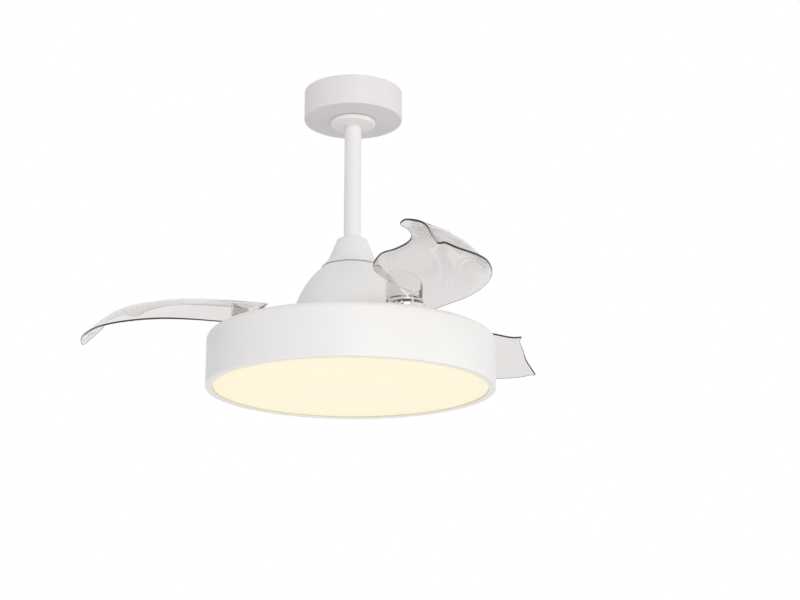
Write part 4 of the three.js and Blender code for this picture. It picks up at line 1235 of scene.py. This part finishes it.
wire_on_path = wire_tree("wire_on_path", spring_steel)
spring_path = path_object("spring_path", [Vector(p) * MM for p in spring_line()])
spring_pattern = run_tree("spring", wire_on_path,
                          {"Path": spring_path, "Wire": SPRING_WIRE * MM, "Sides": 14})
one_per_blade(spring_pattern, "spring", "rotor", "zinc_steel", "return_spring", DRUM_TOP)
bpy.data.objects.remove(spring_path)
print("springs have", SPRING_TURNS, "turns")

# %% [markdown]
# ## Blades
# A blade is a thin curved sheet between four edges: a low trailing edge, a high inner edge, the
# root over the pivot and a notched tip. Such a sheet is a Coons patch. It blends the two long edges
# and the two short ones, and takes away what was counted twice. The rule is short, so Geometry
# Nodes make it: a flat grid gives each point its share along and across, the four edges are sampled
# at those shares, and the point moves to the blend. A few low waves then lift the sheet between its
# edges. The points of the edges are in millimetres from the fan's axis and the drum's top, and were
# fitted to the blade's three outlines in the photograph. The tip's two corners are rounded.

# %% The four edges
BLADE_EDGES = {
    "outer": [(186, 49, 15), (225, 51, 15.5), (269.5, 57, 17), (324, 52.5, 19.5), (388.5, 27, 21),
              (440.5, -16, 22), (470.5, -55, 18.5), (484.5, -101.5, 18.5), (488.5, -131, 21),
              (488.5, -137.5, 16)],
    "inner": [(200, -74, 74.5), (228, -77.5, 81), (265, -72.5, 80.5), (304, -75, 79.5), (334, -86, 78.5),
              (360, -105.5, 77), (386, -131, 73), (394, -150, 72.6)],
    "root": [(186, 49, 15), (164, 37, 36), (149, 12, 56.5), (147, -12, 64), (155, -36, 69.5), (175, -60, 74),
             (200, -74, 74.5)],
    "end": [(488.5, -137.5, 16), (475, -133.5, 27.5), (455.5, -129, 44.5), (443.5, -129, 60), (422, -132, 73),
            (403.5, -144.5, 77), (394, -150, 72.6)],
}
OUTER_CORNER = 12
INNER_CORNER = 15
CORNER_STEPS = 24


def centripetal(points, steps=40):
    """A curve through points whose pace follows their spacing, so that it never loops or kinks."""
    places = [Vector(p) for p in points]
    places = [2 * places[0] - places[1], *places, 2 * places[-1] - places[-2]]
    line = []
    for p0, p1, p2, p3 in zip(places, places[1:], places[2:], places[3:]):
        d0, d1, d2 = (math.sqrt((b - a).length) for a, b in ((p0, p1), (p1, p2), (p2, p3)))
        pace1 = ((p1 - p0) / d0 - (p2 - p0) / (d0 + d1) + (p2 - p1) / d1) * d1
        pace2 = ((p2 - p1) / d1 - (p3 - p1) / (d1 + d2) + (p3 - p2) / d2) * d1
        for i in range(steps):
            t = i / steps
            square, cube = t * t, t * t * t
            line.append(p1 + pace1 * t + (-3 * p1 + 3 * p2 - 2 * pace1 - pace2) * square
                        + (2 * p1 - 2 * p2 + pace1 + pace2) * cube)
    return [*line, places[-2]]


def cut_back(line, reach):
    """A line without its last part of a given length, and the place where it was cut."""
    line = list(line)
    while reach > (line[-1] - line[-2]).length:
        reach -= (line.pop() - line[-1]).length
    line[-1] = line[-1] + (line[-2] - line[-1]).normalized() * reach
    return line


def rounded(first, second, reach):
    """Rounds the corner where one line ends and the next one starts, and meets in the middle of it."""
    corner = first[-1]
    before, after = cut_back(first, reach), cut_back(second[::-1], reach)
    start, end, half = before[-1], after[-1], CORNER_STEPS // 2
    shares = [i / CORNER_STEPS for i in range(CORNER_STEPS + 1)]
    bend = [start * (1 - t) ** 2 + corner * 2 * t * (1 - t) + end * t * t for t in shares]
    return before + bend[1:half + 1], bend[half:-1] + after[::-1]


def blade_edges(steps=40):
    """The four edges as fine lines in millimetres, with the two corners of the tip rounded."""
    lines = {name: centripetal(points, steps) for name, points in BLADE_EDGES.items()}
    lines["outer"], lines["end"] = rounded(lines["outer"], lines["end"], OUTER_CORNER)
    lines["end"], inner = rounded(lines["end"], lines["inner"][::-1], INNER_CORNER)
    lines["inner"] = inner[::-1]
    return lines


edge_paths = {name: path_object(f"{name}_edge", [p * MM for p in line])
              for name, line in blade_edges().items()}
print("edges:", {name: len(path.data.splines[0].points) for name, path in edge_paths.items()})

# %% The patch as a node tree
PATCH_ROWS = 120
PATCH_COLUMNS = 60
CROWN_WAVES = ((1, 1, 3.3), (2, 1, -3.6), (3, 1, 2.2), (2, 2, -2.9), (3, 2, 2.4))


def vector_math(tree, operation, *sources):
    return add_node(tree, "ShaderNodeVectorMath", dict(enumerate(sources)), operation=operation).outputs[0]


def scaled(tree, vector, factor):
    return add_node(tree, "ShaderNodeVectorMath", {0: vector, "Scale": factor}, operation="SCALE").outputs[0]


def half_waves(tree, share, count):
    """A sine with a number of half waves between 0 and 1, so it is zero at both ends."""
    return maths(tree, "SINE", maths(tree, "MULTIPLY", share, count * math.pi))


def crowned(tree, total, along, across):
    """Lifts the sheet between its edges by a sum of waves along and across it."""
    for waves_along, waves_across, height in CROWN_WAVES:
        lift = add_node(tree, "ShaderNodeCombineXYZ", {"Z": height * MM}).outputs[0]
        waves = half_waves(tree, along, waves_along), half_waves(tree, across, waves_across)
        total = vector_math(tree, "ADD", total, scaled(tree, lift, maths(tree, "MULTIPLY", *waves)))
    return total


def coons_blend(tree, sample, along, across):
    """The blend of the four edges, less the blend of the four corners that they share."""
    back, side = maths(tree, "SUBTRACT", 1.0, along), maths(tree, "SUBTRACT", 1.0, across)
    total = None
    for name, share, weight in (("outer", along, side), ("inner", along, across),
                                ("root", across, back), ("end", across, along)):
        part = scaled(tree, sample(name, share), weight)
        total = vector_math(tree, "ADD", total, part) if total else part
    for name, end, first, second in (("outer", 0.0, back, side), ("inner", 0.0, back, across),
                                     ("outer", 1.0, along, side), ("inner", 1.0, along, across)):
        corner = scaled(tree, sample(name, end), maths(tree, "MULTIPLY", first, second))
        total = vector_math(tree, "SUBTRACT", total, corner)
    return total


def patch_tree():
    inputs = [(f"{name} edge", "Object") for name in BLADE_EDGES] + [("Rows", "Int"), ("Columns", "Int")]
    tree, group_in, group_out = new_tree("curved_patch", inputs)
    given = group_in.outputs
    grid = add_node(tree, "GeometryNodeMeshGrid",
                    {"Vertices X": given["Rows"], "Vertices Y": given["Columns"]})
    place = add_node(tree, "GeometryNodeInputPosition").outputs[0]
    split = add_node(tree, "ShaderNodeSeparateXYZ", {0: place}).outputs
    along, across = (maths(tree, "ADD", split[axis], 0.5, clamp=True) for axis in ("X", "Y"))
    curves = {name: add_node(tree, "GeometryNodeObjectInfo", {"Object": given[f"{name} edge"]})
              for name in BLADE_EDGES}

    def sample(name, share):
        line = curves[name].outputs["Geometry"]
        return add_node(tree, "GeometryNodeSampleCurve", {"Curves": line, "Factor": share},
                        mode="FACTOR").outputs["Position"]

    total = crowned(tree, coons_blend(tree, sample, along, across), along, across)
    move = add_node(tree, "GeometryNodeSetPosition", {"Geometry": grid.outputs["Mesh"], "Position": total})
    finish_tree(tree, move.outputs[0], clear_wall, group_out)
    return tree


patch_inputs = {f"{name} edge": path for name, path in edge_paths.items()}
sheet = run_tree("blade_sheet", patch_tree(),
                 {**patch_inputs, "Rows": PATCH_ROWS + 1, "Columns": PATCH_COLUMNS + 1})
for path in edge_paths.values():
    bpy.data.objects.remove(path)
print("sheet has", len(sheet.data.polygons), "faces")

# %% [markdown]
# ### From sheet to blade
# Solidify gives the sheet its three millimetres, half on each side, and its rim gets the dark
# finish, except where the root passes behind the foot. The foot is a clear cup that stands on the
# hub and reaches up to the sheet, with a wall that gets thinner upwards. As in the solids it is cut
# off by the space under the sheet, then joined to it. In the photograph the sheet's grey goes on
# down the far wall of the front blade's cup, and a dark crescent lies on the cup's outer side. So
# the faces of the wall are sorted by where they stand as the camera sees that blade.

# %% Blade and foot
BLADE_WALL = 3
FOOT_RADIUS = 30
FOOT_WALL = 2.4
FOOT_FILLET = 2
FOOT_BULGE = [(31, 38, 1.6), (30.5, 52, 0.9), (28.5, 66, 0.4), (27, 78, 0.3), (26, 90, 0.3)]
FOOT_SHIFT = (-3, -3.5)
FOOT_CENTRE = Vector((PIVOT_RADIUS + FOOT_SHIFT[0], FOOT_SHIFT[1], 0))
FOOT_HOLE = HUB_COLUMN + 1.5
FOOT_HOLLOW = FOOT_RADIUS - 6
SPACE_FLOOR = -60
ROOT_CLEAR = 44
# The dark crescent is painted shade, placed as the camera sees the front blade.
CRESCENT_START = 0.76
CRESCENT_HEIGHT = 48
VIEW_SIDE = Vector((*polar(1, -FIRST_PIVOT), 0))
VIEW_AWAY = Vector((-VIEW_SIDE.y, VIEW_SIDE.x, 0))


def space_under(patch):
    """The closed space between a sheet and a floor far below it."""
    form = bmesh.new()
    form.from_mesh(patch.data)
    lifted = bmesh.ops.extrude_face_region(form, geom=list(form.faces))
    for item in lifted["geom"]:
        if isinstance(item, bmesh.types.BMVert):
            item.co.z = SPACE_FLOOR * MM
    bmesh.ops.recalc_face_normals(form, faces=form.faces)
    return from_form(form, "space")


def make_foot(space):
    """A cup whose wall gets thinner upwards, drilled where it sits on the hub."""
    floor = FOOT_LEVEL + FOOT_FLOOR
    fillet_top = floor + FOOT_FILLET
    wall = through([(FOOT_RADIUS, FOOT_LEVEL + 1, FOOT_WALL), *FOOT_BULGE], 8)
    inner = [(radius - thick, height) for radius, height, thick in reversed(wall) if height > fillet_top]
    outline = [(0, FOOT_LEVEL), (FOOT_RADIUS - 1, FOOT_LEVEL), *[place[:2] for place in wall], *inner,
               *arc(FOOT_RADIUS - FOOT_WALL - FOOT_FILLET, fillet_top, FOOT_FILLET, 0, -90, 5), (0, floor)]
    foot = lathe("foot", outline, clear_foot, 96, base=0)
    foot.data.transform(Matrix.Translation(FOOT_CENTRE * MM))
    combine(foot, [peg(FOOT_HOLE, FOOT_LEVEL - 5, floor + 5, (PIVOT_RADIUS * MM, 0, 0))], "DIFFERENCE")
    return combine(foot, [space], "INTERSECT")


def brink_at(side):
    """How high the root edge stands above a place across the camera's view of the foot."""
    root = sorted((VIEW_SIDE.dot(Vector(place) - FOOT_CENTRE), place[2]) for place in BLADE_EDGES["root"])
    for (side0, height0), (side1, height1) in zip(root, root[1:]):
        if side <= side1:
            return height0 + (height1 - height0) * (side - side0) / (side1 - side0)


def shade_foot(foot):
    """Gives the cup's wall the sheet's tone below the root, and a dark crescent of painted shade on its outer
    side.
    """
    skirt = len(foot.data.materials)
    foot.data.materials.append(clear_skirt)
    foot.data.materials.append(clear_painted_shade)
    for face in foot.data.polygons:
        place = face.center / MM - FOOT_CENTRE
        side, away, height = VIEW_SIDE.dot(place), VIEW_AWAY.dot(place), place.z
        if height < FOOT_LEVEL + FOOT_FLOOR or place.xy.length < FOOT_HOLLOW:
            continue
        share = (height - FOOT_LEVEL) / CRESCENT_HEIGHT
        if side > FOOT_RADIUS * (CRESCENT_START + (1 - CRESCENT_START) * share):
            face.material_index = skirt + 1
        elif away > 0 and height < brink_at(side):
            face.material_index = skirt


def make_blade():
    space = space_under(sheet)
    foot = make_foot(space)
    shade_foot(foot)
    sheet.data.materials.append(clear_rim)
    wall = sheet.modifiers.new("wall", "SOLIDIFY")
    wall.thickness = BLADE_WALL * MM
    wall.offset = 0
    wall.material_offset_rim = 1
    bake(sheet)
    for face in sheet.data.polygons:
        if (face.center.xy / MM - FOOT_CENTRE.xy).length < ROOT_CLEAR:
            face.material_index = 0
    combine(sheet, [foot], "UNION")
    shade(sheet.data, math.radians(40))
    sheet.data.transform(Matrix.Translation((0, 0, DRUM_TOP)))
    return sheet


blade = one_per_blade(make_blade(), "clear_blade", "blade_{}", "clear_acrylic", "blade")
print("blade:", len(blade.data.polygons), "faces, materials", [m.name for m in blade.data.materials])

# %% [markdown]
# ### Dark edge, painted shade
# The sheet's rim is polished, and the dark line that it shows from every side is painted as a thin
# opaque bead in a dark finish, painted shade. It follows the edges up to the foot, so the wire tree
# of the springs sweeps it, with a finer wire and the dark finish.

# %% Edge bead
BEAD = 0.8
# Painted shade: the bead's dark colour stands for the dark line of the edge.
EDGE_PAINTED_SHADE_TINT = ((0.1, 0.09, 0.088), (0.15, 0.137, 0.132))


def edge_loop():
    """The edges in one line: out along the low one, up the tip, home, and down the root to the foot."""
    lines = blade_edges(12)
    root = [p for p in lines["root"]
            if p.y < FOOT_CENTRE.y and (p.xy - FOOT_CENTRE.xy).length > ROOT_CLEAR]
    line = lines["outer"][:-1] + lines["end"][:-1] + lines["inner"][:0:-1] + root[::-1]
    return [p * MM + Vector((0, 0, DRUM_TOP)) for p in line]


edge_painted_shade, edge_painted_shade_tree, edge_painted_shade_shader = new_finish("acrylic_edge_painted_shade", 0.3)
drive_colour(edge_painted_shade_tree, edge_painted_shade_shader, noise(edge_painted_shade_tree, 30, 2), *EDGE_PAINTED_SHADE_TINT)
bead_path = path_object("bead_path", edge_loop())
bead_pattern = run_tree("bead", wire_tree("bead_on_path", edge_painted_shade),
                        {"Path": bead_path, "Wire": BEAD * MM, "Sides": 8})
one_per_blade(bead_pattern, "edge_bead", "blade_{}", "clear_acrylic")
bpy.data.objects.remove(bead_path)
print("edge bead:", BEAD, "mm thick")

# %% [markdown]
# ### Screws in the foot
# Three screws clamp each foot to its hub. They are the same screw in a ring, so a node tree places
# them, one ring to a blade.

# %% Foot screws
FOOT_SCREW_CIRCLE = 19.5
FOOT_SCREWS = 3


def screw_pattern():
    """A round-headed screw with a hollow in the middle of its head."""
    head, height, bend, hollow, depth = 3.4, 2.0, 1.4, 1.1, 0.9
    base = FOOT_LEVEL + FOOT_FLOOR + 0.15
    side, top = base + height * 0.45, base + height
    outline = [(0, base), (head, base), (head, side), *arc(head - bend, side, bend, 0, 80, 4),
               (hollow, top), (hollow, top - depth), (0, top - depth)]
    return lathe("screw_pattern", outline, screw_steel, 24, base=0)


def screw_tree():
    inputs = (("Screw", "Object"), ("Count", "Int"), ("Radius", "Float"))
    tree, group_in, group_out = new_tree("screws_on_circle", inputs)
    given = group_in.outputs
    circle = add_node(tree, "GeometryNodeMeshCircle", {"Vertices": given["Count"], "Radius": given["Radius"]})
    source = add_node(tree, "GeometryNodeObjectInfo", {"Object": given["Screw"]})
    spread = add_node(tree, "GeometryNodeInstanceOnPoints",
                      {"Points": circle.outputs["Mesh"], "Instance": source.outputs["Geometry"]})
    finish_tree(tree, spread.outputs["Instances"], screw_steel, group_out)
    return tree


one_screw = screw_pattern()
screws_on_circle = screw_tree()
for letter, angle in PIVOTS.items():
    ring = run_tree(f"foot_screws_{letter}", screws_on_circle,
                    {"Screw": one_screw, "Count": FOOT_SCREWS, "Radius": FOOT_SCREW_CIRCLE * MM})
    turn = Matrix.Rotation(math.radians(angle), 4, "Z")
    ring.data.transform(Matrix.Translation(spot(PIVOT_RADIUS, angle, DRUM_TOP)) @ turn)
    settle(ring, f"blade_{letter}", "zinc_steel")
bpy.data.objects.remove(one_screw)
print("screws in each foot:", FOOT_SCREWS)

# %% [markdown]
# ## Pieces that keep their solids
# What is left is flat, square or hidden inside the covers: the bracket, the pins, the motor's
# inside and the electronics. Their solids have the right shape already, so they only get a finish.

# %% Finishes for the kept solids
KEPT_FINISHES = {
    zinc_steel: ("ceiling_bracket", "hanger_pin", "motor_yoke", "clevis_pin", "cotter_clip", "motor_shaft",
                 "shaft_spacer", "shaft_nut", "lamp_mount_plate", "rotor_housing", "rotor_cover",
                 *(f"{piece}_screw_{side}" for piece in ("canopy", "dome") for side in ("left", "right")),
                 *(f"{piece}_{number}" for piece in ("drum_screw", "diffuser_clip") for number in (1, 2, 3))),
    machined_steel: ("yoke_set_screw", "upper_bearing", "lower_bearing"),
    core_steel: ("stator_core",),
    copper_wire: ("stator_winding_upper", "stator_winding_lower"),
    black_ferrite: ("magnet_ring",),
    white_plastic: ("led_driver", "motor_controller"),
    board_white: ("led_board",),
}
for finish, names in KEPT_FINISHES.items():
    for node_name in names:
        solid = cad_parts[node_name]
        solid.data.materials.clear()
        solid.data.materials.append(finish)
shown = {name for name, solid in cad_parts.items() if not solid.hide_render}
print("kept solids:", len(shown), "without a finish:", sorted(shown.difference(*KEPT_FINISHES.values())))
